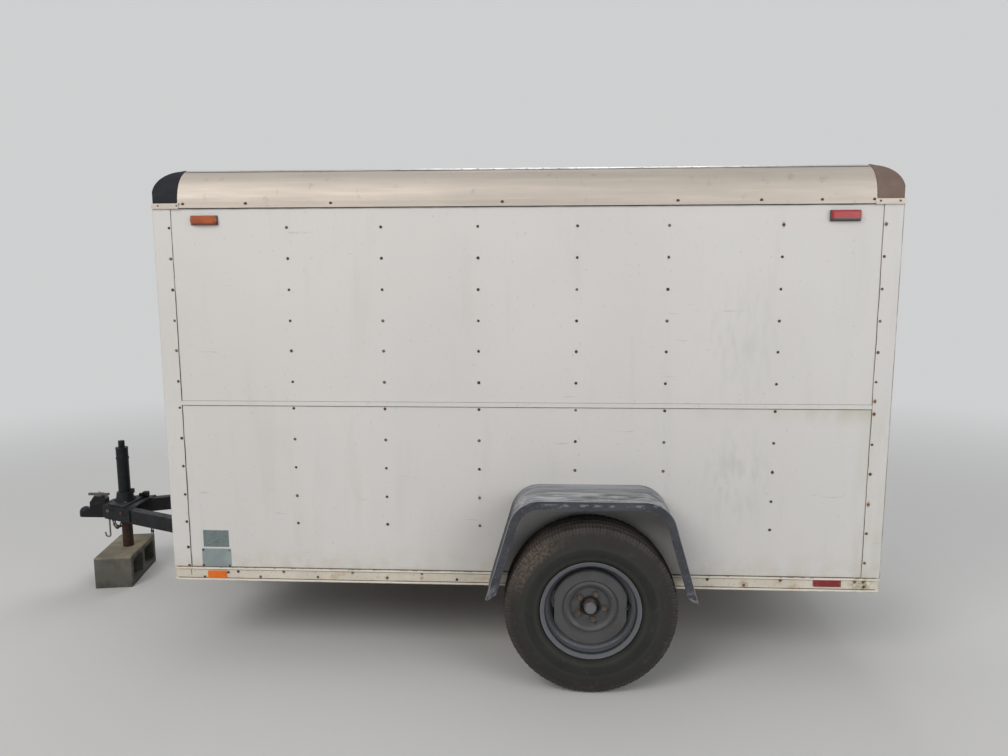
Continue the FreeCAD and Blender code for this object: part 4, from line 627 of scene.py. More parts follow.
def add_bar(form, section, place, span):
    """Add a closed bar: place gives each corner of the section its spot at a station of the span."""
    ends = [[form.verts.new(place(corner, t)) for corner in section] for t in span]
    for i in range(len(section)):
        form.faces.new((ends[0][i - 1], ends[0][i], ends[1][i], ends[1][i - 1]))
    form.faces.new(ends[0][::-1])
    form.faces.new(ends[1])


def add_rod(form, segments, radii, length, matrix):
    """Add a rod or a cone with closed ends to a bmesh."""
    bmesh.ops.create_cone(form, cap_ends=True, segments=segments, radius1=radii[0], radius2=radii[1],
                          depth=length, matrix=matrix)


# Small things that repeat: geometry nodes, made into one plain mesh

def group_tree(name, inputs):
    """A node group with named inputs, their identifiers, and the sockets that give them."""
    tree = bpy.data.node_groups.new(name, "GeometryNodeTree")
    ids = {}
    for label, kind, value in (("Geometry", "Geometry", None), *inputs, ("Finish", "Material", None)):
        socket = tree.interface.new_socket(label, in_out="INPUT", socket_type="NodeSocket" + kind)
        if value is not None:
            socket.default_value = value
        ids[label] = socket.identifier
    tree.interface.new_socket("Geometry", in_out="OUTPUT", socket_type="NodeSocketGeometry")
    return tree, ids, put(tree, "NodeGroupInput").outputs


def close_tree(tree, shape, finish):
    """End a node group in plain geometry of one finish."""
    real = first(tree, "GeometryNodeRealizeInstances", {0: shape})
    done = first(tree, "GeometryNodeSetMaterial", {"Geometry": real, "Material": finish})
    put(tree, "NodeGroupOutput", {0: done})


def fastener_tree():
    """A pan head on a flat washer at every point, turned to face the point's own way out."""
    tree, ids, given = group_tree("fasteners", (
        ("Head radius", "Float", 0.005), ("Head height", "Float", 0.003), ("Washer radius", "Float", 0.007),
        ("Sides", "Int", 6), ("Seed", "Int", 7),
    ))

    def chance(low, high):
        """A number between two values, another one for each point."""
        return put(tree, "FunctionNodeRandomValue", {2: low, 3: high, "Seed": given["Seed"]},
                   data_type="FLOAT").outputs[1]

    washer = first(tree, "GeometryNodeMeshCone", {
        "Vertices": 14, "Radius Top": given["Head radius"], "Radius Bottom": given["Washer radius"],
        "Depth": calc(tree, "MULTIPLY", given["Head height"], 0.35),
    })
    head = first(tree, "GeometryNodeMeshCone", {
        "Vertices": given["Sides"], "Radius Top": calc(tree, "MULTIPLY", given["Head radius"], 0.72),
        "Radius Bottom": given["Head radius"], "Depth": given["Head height"],
    })
    both = put(tree, "GeometryNodeJoinGeometry")
    for mesh in (head, washer):
        tree.links.new(mesh, both.inputs[0])
    facing = first(tree, "GeometryNodeInputNamedAttribute", {"Name": "facing"}, data_type="FLOAT_VECTOR")
    turn = first(tree, "FunctionNodeAlignRotationToVector", {"Vector": facing}, axis="Z")
    spin = first(tree, "FunctionNodeAxisAngleToRotation", {"Axis": (0, 0, 1), "Angle": chance(0.0, 6.2832)})
    total = first(tree, "FunctionNodeRotateRotation", {0: turn, 1: spin}, rotation_space="LOCAL")
    laid = first(tree, "GeometryNodeInstanceOnPoints", {
        "Points": given["Geometry"], "Instance": both.outputs[0], "Rotation": total,
        "Scale": chance(0.88, 1.1),
    })
    close_tree(tree, laid, given["Finish"])
    return tree, ids


def bead_tree():
    """A hand-laid bead of sealant along each edge, wandering a little in its plane."""
    tree, ids, given = group_tree("sealant_bead", (
        ("Width", "Float", 0.003), ("Step", "Float", 0.02), ("Wander", "Float", 0.002),
        ("Scale", "Float", 9.0), ("Way", "Vector", (1.0, 0.0, 0.0)),
    ))
    curve = first(tree, "GeometryNodeMeshToCurve", {0: given["Geometry"]})
    even = first(tree, "GeometryNodeResampleCurve", {"Curve": curve, "Length": given["Step"]}, mode="LENGTH")
    noise = first(tree, "ShaderNodeTexNoise", {
        "Vector": first(tree, "GeometryNodeInputPosition"), "Scale": given["Scale"], "Detail": 3.0,
    })
    reach = calc(tree, "MULTIPLY", calc(tree, "SUBTRACT", noise, 0.5), given["Wander"])
    shift = first(tree, "ShaderNodeVectorMath", {0: given["Way"], "Scale": reach}, operation="SCALE")
    moved = first(tree, "GeometryNodeSetPosition", {"Geometry": even, "Offset": shift})
    thick = first(tree, "ShaderNodeMapRange", {
        "Value": noise, "From Min": 0.3, "From Max": 0.7, "To Min": 0.6, "To Max": 1.3,
    })
    half = calc(tree, "MULTIPLY", calc(tree, "MULTIPLY", thick, given["Width"]), 0.5)
    sized = first(tree, "GeometryNodeSetCurveRadius", {0: moved, "Radius": half})
    ring = first(tree, "GeometryNodeCurvePrimitiveCircle", {"Resolution": 6, "Radius": 1.0}, mode="RADIUS")
    swept = put(tree, "GeometryNodeCurveToMesh", {0: sized, 1: ring, "Fill Caps": True})
    scale = swept.inputs.get("Scale")
    if scale is not None:
        tree.links.new(half, scale)
    close_tree(tree, swept.outputs[0], given["Finish"])
    return tree, ids


def grown(name, seeds, tree_and_ids, settings, body):
    """Run a node tree over a seed mesh and keep the result as a plain mesh that rides on a body."""
    tree, ids = tree_and_ids
    host = shown(name + "_host", seeds)
    modifier = host.modifiers.new("grow", "NODES")
    modifier.node_group = tree
    for key, value in settings.items():
        modifier[ids[key]] = value
    mesh = bpy.data.meshes.new_from_object(host.evaluated_get(bpy.context.evaluated_depsgraph_get()))
    bpy.data.objects.remove(host)
    mesh.name = name
    return piece_of(name, mesh, body)


def points_mesh(name, points):
    """Points, each with the way that it faces."""
    mesh = bpy.data.meshes.new(name)
    mesh.from_pydata([p for p, _ in points], [], [])
    facing = mesh.attributes.new("facing", "FLOAT_VECTOR", "POINT")
    for i, (_, way) in enumerate(points):
        facing.data[i].vector = way
    return mesh


def lines_mesh(name, lines):
    """Lines of edges through points."""
    mesh = bpy.data.meshes.new(name)
    verts, edges = [], []
    for line in lines:
        start = len(verts)
        verts += line
        edges += [(i, i + 1) for i in range(start, len(verts) - 1)]
    mesh.from_pydata(verts, edges, [])
    return mesh


FASTENERS = fastener_tree()
BEADS = bead_tree()
LENGTHWAYS, SIDEWAYS, UPWARDS = (1.0, 0.0, 0.0), (0.0, 1.0, 0.0), (0.0, 0.0, 1.0)


BEAD_STEP = 0.02


def fasteners(name, points, head=0.0042, height=0.003, washer=0.0062, sides=6, seed=7, finish=SCREW,
              body="chassis"):
    grown(name, points_mesh(name, points), FASTENERS, {
        "Head radius": head, "Head height": height, "Washer radius": washer, "Sides": sides, "Seed": seed,
        "Finish": finish.material,
    }, body)


def bead(name, lines, width, wander, way, scale, finish, body="chassis"):
    grown(name, lines_mesh(name, lines), BEADS, {
        "Width": width, "Step": BEAD_STEP, "Wander": wander, "Scale": scale, "Way": way,
        "Finish": finish.material,
    }, body)


# Screws of the skins, posts, rails and coves

# Ways back from the front, and heights
SKIN_COLUMNS = (0.574, 0.973, 1.379, 1.791, 2.166, 2.625)
SKIN_ROWS = (1.920, 1.791, 1.660, 1.529, 1.400, 1.266, 1.150, 1.014, 0.888, 0.760, 0.635)
FRONT_COLUMN = 0.070
FRONT_ROWS = SKIN_ROWS + (0.517, 0.432)
REAR_COLUMN = 3.030
REAR_ROWS = (1.920, 1.791, 1.660, 1.529, 1.400, 1.277, 1.196, 1.142, 1.012, 0.885, 0.753, 0.625, 0.494)
COVE_COLUMNS = (0.134, 0.403, 0.765, 1.481, 2.197, 2.532, 2.773, 2.979)
STRIP_COLUMNS = (0.031, 0.111, 3.0, 3.077)
# Columns across the front and the rear
NOSE_COLUMNS = (-0.855, -0.62, -0.42, -0.21, 0.0, 0.21, 0.42, 0.62, 0.855)
TAIL_COLUMNS = (-0.862, 0.862)
RAIL_SCREWS = ((0.139, 0.380), (0.248, 0.403), (0.293, 0.407), (0.394, 0.384), (0.5, 0.410), (0.654, 0.388),
               (0.811, 0.412), (0.966, 0.390), (1.121, 0.412), (1.276, 0.388), (2.368, 0.410), (2.524, 0.386),
               (2.679, 0.411), (2.993, 0.410), (3.029, 0.410), (3.032, 0.388))
# How far a screw's middle stands off the skins, the posts and the rails' beads
SEAT = 0.0012
POST_SEAT = POST_LAP + SEAT
RAIL_SEAT = 0.0048
# The fender's outline on the side: half length and height of its legs' tops, their lean, and its top
FENDER_HALF, LEG_TOP, LEG_LEAN, FENDER_TOP = 0.3, 0.826, 0.295, 0.838


def on_side(side, back, z, proud=SEAT):
    """A place on the left or right side, so far back from the front, and the way out of it."""
    return (FRONT_X + back, side * (HALF + proud), z), (0.0, float(side), 0.0)


def on_end(way, y, z, proud=SEAT):
    """A place on the front (-1) or the rear (1), and the way out of it."""
    return ((FRONT_X if way < 0 else REAR_X) + way * proud, y, z), (float(way), 0.0, 0.0)


def fender_covers(x, z):
    """Whether a place on the side is under or behind the fender."""
    return z < FENDER_TOP and abs(x - WHEEL_X) < FENDER_HALF + (LEG_TOP - z) * LEG_LEAN


def skin_screws():
    points, brown = [], []
    for _, side in SIDES:
        points += [on_side(side, back, z) for back in SKIN_COLUMNS for z in SKIN_ROWS
                   if not fender_covers(FRONT_X + back, z)]
        points += [on_side(side, FRONT_COLUMN, z, POST_SEAT) for z in FRONT_ROWS]
        brown += [on_side(side, REAR_COLUMN, z, POST_SEAT) for z in REAR_ROWS]
    for y in NOSE_COLUMNS:
        rows, proud = (FRONT_ROWS, POST_SEAT) if abs(y) == NOSE_COLUMNS[-1] else (SKIN_ROWS, SEAT)
        points += [on_end(-1, y, z, proud) for z in rows]
    brown += [on_end(1, y, z, POST_SEAT) for y in TAIL_COLUMNS for z in REAR_ROWS]
    fasteners("skin_screws", points)
    fasteners("rear_post_screws", brown, finish=BROWN_SCREW)


def rail_screws():
    low, high = TRIM_LOW.z + 0.021, TRIM_HIGH.z - 0.0155
    points = [on_side(side, back, z, RAIL_SEAT) for _, side in SIDES for back, z in RAIL_SCREWS]
    points += [on_end(-1, -0.72 + 0.18 * i, high if i % 2 else low, RAIL_SEAT) for i in range(9)]
    points.append(on_end(1, -0.55, low, RAIL_SEAT))
    points += [on_end(1, y, high, RAIL_SEAT) for y in (-0.3, -0.1, 0.1, 0.3, 0.55)]
    fasteners("rail_screws", points, seed=11)


def cove_screws():
    points = [on_side(side, back, COVE_Z + 0.0105) for _, side in SIDES for back in COVE_COLUMNS]
    points += [on_end(way, -0.7 + 0.28 * i, COVE_Z + 0.0115) for way in (-1, 1) for i in range(6)]
    fasteners("cove_screws", points, 0.0045, 0.0028, 0.0065, seed=5)


SIDE_ROUND = 0.143
END_ROUND = 0.112
# Degrees up the rounds at which the roof sheet's turned edge starts and ends, and at which its rivets sit
LAP_FROM, LAP_TO = 66.0, 86.0
RIVETS_AT = 71.0
RIVET_PITCH = 0.069
# From the front's edge to a side's first rivet, what both ends leave free, and the first and count across
RIVET_START, RIVET_FREE, RIVET_ACROSS, RIVETS_ACROSS = 0.13, 0.24, -0.76, 23
# Degrees up the rounds at which a cap's seam has its points
SEAM_TURNS = range(0, 81, 3)


def on_round(degrees, lift=0.0, radius=SIDE_ROUND):
    """Way in from the edge and height of a place on the quarter round."""
    a = math.radians(degrees)
    return radius - (radius + lift) * math.cos(a), ROOF_TOP - radius + (radius + lift) * math.sin(a)


def roof_rivets():
    """Rivets along the lapped edge of the roof sheet, on all four sides."""
    out, up = math.cos(math.radians(RIVETS_AT)), math.sin(math.radians(RIVETS_AT))
    inset, z = on_round(RIVETS_AT, 0.0016)
    count = int((REAR_X - FRONT_X - RIVET_FREE) / RIVET_PITCH)
    points = [((FRONT_X + RIVET_START + RIVET_PITCH * i, side * (HALF - inset), z), (0.0, side * out, up))
              for _, side in SIDES for i in range(count)]
    inset, z = on_round(RIVETS_AT, 0.0016, END_ROUND)
    points += [((x, RIVET_ACROSS + RIVET_PITCH * i, z), (way * out, 0.0, up))
               for x, way in ((FRONT_X + inset, -1), (REAR_X - inset, 1)) for i in range(RIVETS_ACROSS)]
    fasteners("roof_rivets", points, 0.0036, 0.0018, 0.0044, 8, 3, ZINC)


def strip_screws():
    points = [on_side(side, back, COVE_Z + 0.0035, 0.0108) for _, side in SIDES for back in STRIP_COLUMNS]
    fasteners("cap_strip_screws", points, 0.003, 0.002, 0.004, seed=9, finish=BROWN_SCREW)


skin_screws()
rail_screws()
cove_screws()
roof_rivets()
strip_screws()


# Sealant, painted shadow lines at the laps, and the turned edge of the roof sheet

def side_lines(proud, *spots):
    """A line on each side through the same places: way along the body and height."""
    return [[(x, side * (HALF + proud), z) for x, z in spots] for _, side in SIDES]


def level_lines(inset, proud, z):
    """A level line along each side that ends so far from the front and the rear."""
    return side_lines(proud, (FRONT_X + inset, z), (REAR_X - inset, z))


def seam_lines():
    """Sealant down the posts' seams, on the sides and on the front."""
    low, high = TRIM_HIGH.z + 0.002, COVE_Z - 0.011
    for x, name, width, finish in ((FRONT_X + POST_FLANGE, "post_seams_front", 0.003, SEALANT),
                                   (REAR_X - POST_FLANGE, "post_seams_rear", 0.0022, RUSTY_SEAM_AND_SHADE)):
        bead(name, side_lines(0.0016, (x, low), (x, high)), width, 0.006, LENGTHWAYS, 7.0, finish)
    lines = [[(FRONT_X - 0.0016, side * (HALF - POST_FLANGE), z) for z in (low, high)] for _, side in SIDES]
    bead("post_seams_nose", lines, 0.003, 0.005, SIDEWAYS, 7.0, SEALANT)


# From the front to the joint of the bottom rail, and what its own lines leave free at both ends
RAIL_JOINT, RAIL_FREE = 0.079, 0.02


def lap_lines():
    """Painted shadow lines below the belt and the coves, painted shade lines tinted rust along the bottom
    rail, and the rail's joint.
    """
    under_belt = BELT_LOW.z - 0.0012
    nose = [(FRONT_X - 0.0008, side * (HALF - POST_FLANGE), under_belt) for _, side in SIDES]
    belts = [*level_lines(POST_FLANGE, 0.0008, under_belt), nose]
    tops = level_lines(POST_FLANGE, 0.0008, BELT_HIGH.z + 0.0008)
    coves = level_lines(CAP_REACH, 0.004, COVE_Z - 0.007)
    low, high = TRIM_LOW.z, TRIM_HIGH.z
    rails = []
    # Painted shade, tinted rust: between the wall and the rail, under the bead and above the lip.
    for proud, z in ((0.003, high + 0.0008), (0.0045, high - 0.0105), (0.0045, low + 0.0102)):
        rails += level_lines(RAIL_FREE, proud, z)
    rails += side_lines(0.0042, *((FRONT_X + RAIL_JOINT, z) for z in (high - 0.010, low + 0.022)))
    bead("belt_shadow_line", belts, 0.0034, 0.0015, UPWARDS, 12.0, SHADOW)
    bead("belt_top", tops, 0.0013, 0.001, UPWARDS, 12.0, TAN_SEAM)
    bead("cove_shadow_line", coves, 0.006, 0.0015, UPWARDS, 12.0, SHADOW)
    bead("rail_shade_and_joint_lines", rails, 0.0027, 0.001, UPWARDS, 14.0, RUSTY_SEAM_AND_SHADE)


def roof_laps():
    """The turned-down edge of the roof sheet, lying on the rounds."""
    sections = []
    for radius in (SIDE_ROUND, END_ROUND):
        turns = [(LAP_TO - LAP_FROM) * i / 6 for i in range(7)]
        sections.append([on_round(LAP_FROM + turn, 0.0012, radius) for turn in turns]
                        + [on_round(LAP_TO - turn, -0.0004, radius) for turn in turns])
    form = bmesh.new()
    for _, side in SIDES:
        add_bar(form, sections[0], lambda p, t: (t, side * (HALF - p[0]), p[1]),
                (FRONT_X + CAP_REACH, REAR_X - CAP_REACH))
    reach = HALF - CAP_REACH
    for x, way in ((FRONT_X, 1), (REAR_X, -1)):
        add_bar(form, sections[1], lambda p, t: (x + way * p[0], t, p[1]), (-reach, reach))
    baked("roof_laps", form, "chassis", ROOF)


def cap_seams():
    """The joints between the caps and the rounds, and the line of the roof lap."""
    arcs, laps = [], []
    past_cap = CAP_REACH + 0.002
    for _, side in SIDES:
        arc = [on_round(turn, -0.0004) for turn in SEAM_TURNS]
        for x in (FRONT_X + CAP_REACH, REAR_X - CAP_REACH):
            arcs.append([(x, side * (HALF - inset), z) for inset, z in arc])
        inset, z = on_round(LAP_FROM - 0.3, 0.0008)
        laps.append([(x, side * (HALF - inset), z) for x in (FRONT_X + past_cap, REAR_X - past_cap)])
    for x, way in ((FRONT_X, 1), (REAR_X, -1)):
        arc = [on_round(turn, -0.0008, END_ROUND) for turn in SEAM_TURNS]
        for y in (CAP_REACH - HALF, HALF - CAP_REACH):
            arcs.append([(x + way * inset, y, z) for inset, z in arc])
        inset, z = on_round(LAP_FROM - 0.3, 0.0004, END_ROUND)
        laps.append([(x + way * inset, y, z) for y in (past_cap - HALF, HALF - past_cap)])
    bead("cap_seams", arcs, 0.0026, 0.0, LENGTHWAYS, 9.0, SHADOW)
    bead("roof_lap_line", laps, 0.0022, 0.0006, UPWARDS, 9.0, SHADOW)


seam_lines()
lap_lines()
roof_laps()
cap_seams()


# Patch and bare plate, left side only

def side_plates():
    for name, slot, finish, low, high, thick, bevel in (
            ("speckled_patch", "wall_white", SPECKLE, (0.140, 0.519), (0.256, 0.596), 0.0007, 0.0002),
            ("bare_plate", "lock_zinc", PLATE, (0.131, 0.4275), (0.263, 0.511), 0.0014, 0.0005)):
        form = bmesh.new()
        add_block(form, (FRONT_X + low[0], -HALF - thick, low[1]),
                  (FRONT_X + high[0], 0.0004 - HALF, high[1]), bevel)
        baked(name, form, "chassis", finish)
    corners = ((0.137, 0.505), (0.256, 0.504), (0.136, 0.434), (0.255, 0.433))
    points = [on_side(-1, back, z, 2 * SEAT) for back, z in corners]
    fasteners("plate_screws", points, 0.0035, 0.0022, 0.005, seed=4)


side_plates()


# Tyres

# Way in from the outer face and radius, as in the frame
SIDEWALL = ((0.038, 0.190), (0.037, 0.195), (0.030, 0.210), (0.016, 0.216), (0.003, 0.246), (0.0, 0.266),
            (0.0025, 0.284), (0.0085, 0.312), (0.0165, 0.336))
TREAD_HALF = 0.089
TREAD_RADIUS = 0.360
GROOVES = (-0.060, -0.021, 0.021, 0.060)
GROOVE_DEEP = 0.0055
# Radius and rise of the rings on the sidewall, and how far each spreads
RIBS = ((0.228, 0.0006), (0.281, 0.001))
RIB_REACH = 0.004
PITCHES = 78
STEPS_A_PITCH = 6
OUTER_NOTCH, INNER_NOTCH = 5, 2
NOTCH_DEEP = 0.0026


def smooth_run(points, steps):
    """A curve through points, a few steps a span."""
    ends = [Vector(p) for p in (points[0], *points, points[-1])]
    run = []
    for i in range(1, len(ends) - 2):
        a, b, c, d = ends[i - 1:i + 3]
        for k in range(steps):
            t = k / steps
            run.append(0.5 * (2 * b + (c - a) * t + (2 * a - 5 * b + 4 * c - d) * t * t
                              + (3 * b - a - 3 * c + d) * t * t * t))
    return run


def tyre_section():
    """Stations round the tyre: way out, radius, and how much of a shoulder notch cuts in there."""
    wide = TYRE_HIGH.y - TYRE_LOW.y
    wall = []
    for way_in, radius in smooth_run(SIDEWALL, 5):
        lift = sum(rise * math.exp(-((radius - at) / RIB_REACH) ** 2) for at, rise in RIBS)
        notch = max(0.0, min(1.0, (radius - 0.318) / 0.01))
        wall.append((-wide / 2 + max(0.0, way_in - lift), radius, notch))
    stations = [-TREAD_HALF, -0.084, -0.077, -0.0685, -0.04, 0.0, 0.0685, 0.077, 0.084, TREAD_HALF]
    for g in GROOVES:
        stations += [g - 0.0046, g - 0.0032, g + 0.0032, g + 0.0046]
    stations += [g + 0.013 for g in GROOVES[:-1]]
    tread = []
    for u in sorted(stations):
        deep = GROOVE_DEEP if any(abs(u - g) < 0.004 for g in GROOVES) else 0.0
        crown = TREAD_RADIUS - 0.0075 * (abs(u) / TREAD_HALF) ** 2.6
        tread.append((u, crown - deep, 1.0 if abs(u) > 0.0675 else 0.0))
    return wall + tread + [(-out, radius, notch) for out, radius, notch in reversed(wall)]


def tyre_ring(form, section, side, step, steps):
    """One station round a tyre: the notches cut in at their own steps of each pitch."""
    a = 2 * math.pi * step / steps
    ring = []
    for out, radius, notch in section:
        cuts = step % STEPS_A_PITCH == (OUTER_NOTCH if out < 0 else INNER_NOTCH)
        dip = NOTCH_DEEP * notch * cuts
        flank = radius < 0.35
        r = radius - dip * (0.5 if flank else 1.0)
        shift = dip * 0.7 * flank * (1 if out < 0 else -1)
        ring.append(form.verts.new((WHEEL_X + r * math.cos(a), side * (TYRE_Y + out + shift),
                                    WHEEL_Z + r * math.sin(a))))
    return ring


def tyres():
    section = tyre_section()
    steps = PITCHES * STEPS_A_PITCH
    for label, side in SIDES:
        form = bmesh.new()
        rings = [tyre_ring(form, section, side, i, steps) for i in range(steps)]
        for i in range(steps):
            here, there = rings[i], rings[(i + 1) % steps]
            for j in range(len(section)):
                k = (j + 1) % len(section)
                face = form.faces.new((here[j], here[k], there[k], there[j]))
                face.smooth = section[j][1] < 0.332 and section[k][1] < 0.332
        piece = baked("dressed_tyre_" + label, form, "wheel_" + label, RUBBER)
        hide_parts("tyre_" + label)


# Radius round the axle and way out of the tyre's middle, and length, radii and start of each part
VALVE_RADIUS, VALVE_OUT = 0.163, 0.037
VALVE_PARTS = ((0.012, (0.0075, 0.0055), 0.0), (0.03, (0.004, 0.0036), 0.008),
               (0.009, (0.0046, 0.0042), 0.034))


def valve_stems():
    """A rubber foot, a stem and a cap, leaning out of each rim."""
    for label, side in SIDES:
        form = bmesh.new()
        a = math.radians(2.0)
        base = Vector((WHEEL_X + VALVE_RADIUS * math.cos(a), side * (TYRE_Y + VALVE_OUT),
                       WHEEL_Z + VALVE_RADIUS * math.sin(a)))
        way = Vector((-0.35, side * 1.0, 0.0)).normalized()
        turn = way.to_track_quat("Z", "Y").to_matrix().to_4x4()
        for length, radii, start in VALVE_PARTS:
            add_rod(form, 14, radii, length, Matrix.Translation(base + way * (start + length / 2)) @ turn)
        baked("valve_" + label, form, "wheel_" + label, GASKET)


tyres()
valve_stems()


# Lamp bases and small screws

# From the body's side to the middle of a tail lamp
TAIL_LAMP_IN = 0.17


def lamp_bases():
    form = bmesh.new()
    for _, side in SIDES:
        for node, grow, tall, lean in (("marker_lamps_amber", 0.0025, 0.005, 0.0),
                                       ("marker_lamps_red", 0.002, 0.0085, 0.001)):
            low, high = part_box(node)
            ys = sorted((side * (HALF - 0.001), side * (HALF + tall)))
            add_block(form, (low.x - grow - lean, ys[0], low.z - grow - lean),
                      (high.x + grow, ys[1], high.z + grow), 0.0022)
    baked("lamp_bases", form, "chassis", BASE)
    low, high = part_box("reflectors_red")
    points = [((x, side * (high.y + 0.0008), (low.z + high.z) / 2), (0.0, float(side), 0.0))
              for _, side in SIDES for x in (low.x + 0.0065, high.x - 0.0065)]
    low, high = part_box("tail_lamps")
    points += [((high.x + 0.0006, side * (HALF - TAIL_LAMP_IN + dy), (low.z + high.z) / 2), LENGTHWAYS)
               for _, side in SIDES for dy in (-0.062, 0.062)]
    fasteners("lens_screws", points, 0.0028, 0.0018, 0.0036, seed=2)


lamp_bases()


# Rear doors: edge trims, seals and hinge screws

# Width of the edge trims, and way in from the body's side to the doors' edge and the hinges' middle
EDGE_TRIM, DOOR_EDGE, HINGE_IN = 0.032, 0.0855, 0.1085
LOCK_BAR_Y = 0.42


def door_dress():
    for label, side in SIDES:
        low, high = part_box("rear_door_" + label)
        y0, y1 = sorted((side * 0.0027, side * (HALF - DOOR_EDGE)))
        z0, z1 = low.z, high.z
        form = bmesh.new()
        for a, b in (((y0, z0), (y1, z0 + EDGE_TRIM)), ((y0, z1 - EDGE_TRIM), (y1, z1)),
                     ((y0, z0 + EDGE_TRIM), (y0 + EDGE_TRIM, z1 - EDGE_TRIM)),
                     ((y1 - EDGE_TRIM, z0 + EDGE_TRIM), (y1, z1 - EDGE_TRIM))):
            add_block(form, (REAR_X - 0.0004, a[0] + 0.0002, a[1] + 0.0002),
                      (REAR_X + 0.0016, b[0] - 0.0002, b[1] - 0.0002), 0.0004)
        baked("door_trim_" + label, form, "door_" + label, RAIL)
        ys, zs = (y0 - 0.001, y1 + 0.001), (z0 - 0.001, z1 + 0.001)
        line = [(REAR_X - 0.003, ys[i], zs[k]) for i, k in ((0, 0), (1, 0), (1, 1), (0, 1), (0, 0))]
        bead("door_seal_" + label, [line], 0.0038, 0.0004, UPWARDS, 9.0, GASKET, "door_" + label)
        rows = [z0 + 0.05 + (z1 - z0 - 0.1) * i / 8 for i in range(9)]
        columns = (y0 + EDGE_TRIM / 2, y1 - EDGE_TRIM / 2)
        points = [on_end(1, y, z, 2 * SEAT) for z in rows for y in columns]
        hinges = [z0 + (z1 - z0) * share for share in (0.1, 0.5, 0.9)]
        points += [on_end(1, side * (HALF - HINGE_IN), z + dz, 0.0052)
                   for z in hinges for dz in (-0.012, 0.012)]
        guides = (z0 + 0.06, z0 + (z1 - z0) * 0.44, z1 - 0.06)
        points += [on_end(1, side * LOCK_BAR_Y + dy, z, 0.0296) for z in guides for dy in (-0.017, 0.017)]
        fasteners("door_screws_" + label, points, 0.0042, 0.0026, 0.0058, seed=13, body="door_" + label)


door_dress()


# Tongue: bolts, weld beads, thin rods and plug bracket

# The rails meet at the apex and spread by the slope for each metre back from it
TONGUE_LONG = 0.900
APEX = FRONT_X - TONGUE_LONG
SLOPE = 0.435
# Radius of the bolts round the jack, and way out, height and places of the coupler's own
BOLT_CIRCLE = 0.056
SIDE_BOLTS_OUT, SIDE_BOLTS_Z, SIDE_BOLTS = 0.0341, 0.404, (0.1, 0.2)
# Top of the rails where the welds lie across them, and at the body
WELD_Z, BODY_WELD_Z = 0.4285, 0.4255


def tongue_bolts():
    """Three bolts round the jack's flange, and two through each side of the coupler."""
    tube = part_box("jack_tube")
    jack = (tube[0].x + tube[1].x) / 2
    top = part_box("coupler")[1].z + 0.011
    points = [((jack + BOLT_CIRCLE * math.cos(a), BOLT_CIRCLE * math.sin(a), top), UPWARDS)
              for a in (math.radians(turn) for turn in (60, 180, 300))]
    out = Vector((-SLOPE, 1.0, 0.0)).normalized()
    for _, side in SIDES:
        way = Vector((out.x, side * out.y, 0.0))
        for back in SIDE_BOLTS:
            spot = Vector((APEX + back, side * (back * SLOPE + SIDE_BOLTS_OUT), SIDE_BOLTS_Z)) + way * 0.002
            points.append((tuple(spot), tuple(way)))
    fasteners("tongue_bolts", points, 0.0095, 0.008, 0.0125, 6, 21)


def weld_beads():
    """Welds across the rails' tops at the coupler, and round them at the body."""
    back, reach = 0.262, 0.028
    low, top = 0.355, BODY_WELD_Z
    lines = []
    for _, side in SIDES:
        lines.append([(APEX + back, side * (back * SLOPE + dy), WELD_Z) for dy in (-0.027, 0.033)])
        y = side * TONGUE_LONG * SLOPE
        around = ((-reach, top), (-reach, low), (reach, low), (reach, top), (-reach, top))
        lines.append([(FRONT_X - 0.0015, y + dy, z) for dy, z in around])
    bead("weld_beads", lines, 0.007, 0.002, UPWARDS, 60.0, FRAME)


def tongue_brackets():
    """Two thin rods with a plate under the left rail, and a plug in its bracket on the right one."""
    form = bmesh.new()
    back = 0.403
    spot = Vector((APEX + back, -back * SLOPE, 0.0))
    along = Vector((1.0, -SLOPE, 0.0)).normalized()
    across = Vector((SLOPE, 1.0, 0.0)).normalized()
    for shift in (-0.0065, 0.0065):
        p = spot + along * shift
        for length, r, z in ((0.04, 0.003, 0.3335), (0.005, 0.0055, 0.3245)):
            add_rod(form, 10, (r, r), length, Matrix.Translation((p.x, p.y, z)))
    corners = [spot + across * a + along * b for a, b in ((-0.014, -0.015), (0.014, -0.015), (0.014, 0.015),
                                                          (-0.014, 0.015))]
    add_bar(form, corners, lambda c, t: (c.x, c.y, t), (0.3485, 0.3525))
    back = 0.228
    x, y = APEX + back, back * SLOPE
    add_block(form, (x - 0.018, y - 0.004, 0.4275), (x + 0.018, y, 0.450), 0.001)
    add_block(form, (x - 0.016, y - 0.018, 0.438), (x + 0.016, y + 0.018, 0.468), 0.007)
    plug = Matrix.Translation((x - 0.022, y, 0.448)) @ Matrix.Rotation(math.pi / 2, 4, "Y")
    add_rod(form, 16, (0.011, 0.009), 0.03, plug)
    baked("tongue_brackets", form, "chassis", COUPLER)


tongue_bolts()
weld_beads()
tongue_brackets()


# Stage, lamps and camera

BACKDROP = (0.62, 0.625, 0.63, 1)
FLOOR_REACH = 60.0
# Where the floor starts to fade, and where it has become the backdrop
FADE_FROM, FADE_TO = 3.2, 8.5
# Camera: focal length and frame width in pixels, film width, and the turns in degrees
FOCAL_PX, FRAME_PX, FILM_MM = 757.0, 1008.0, 36.0
CAMERA_AT = (0.5845, -4.097, 1.720)
CAMERA_TURNS = (82.254, 0.133, 2.942)
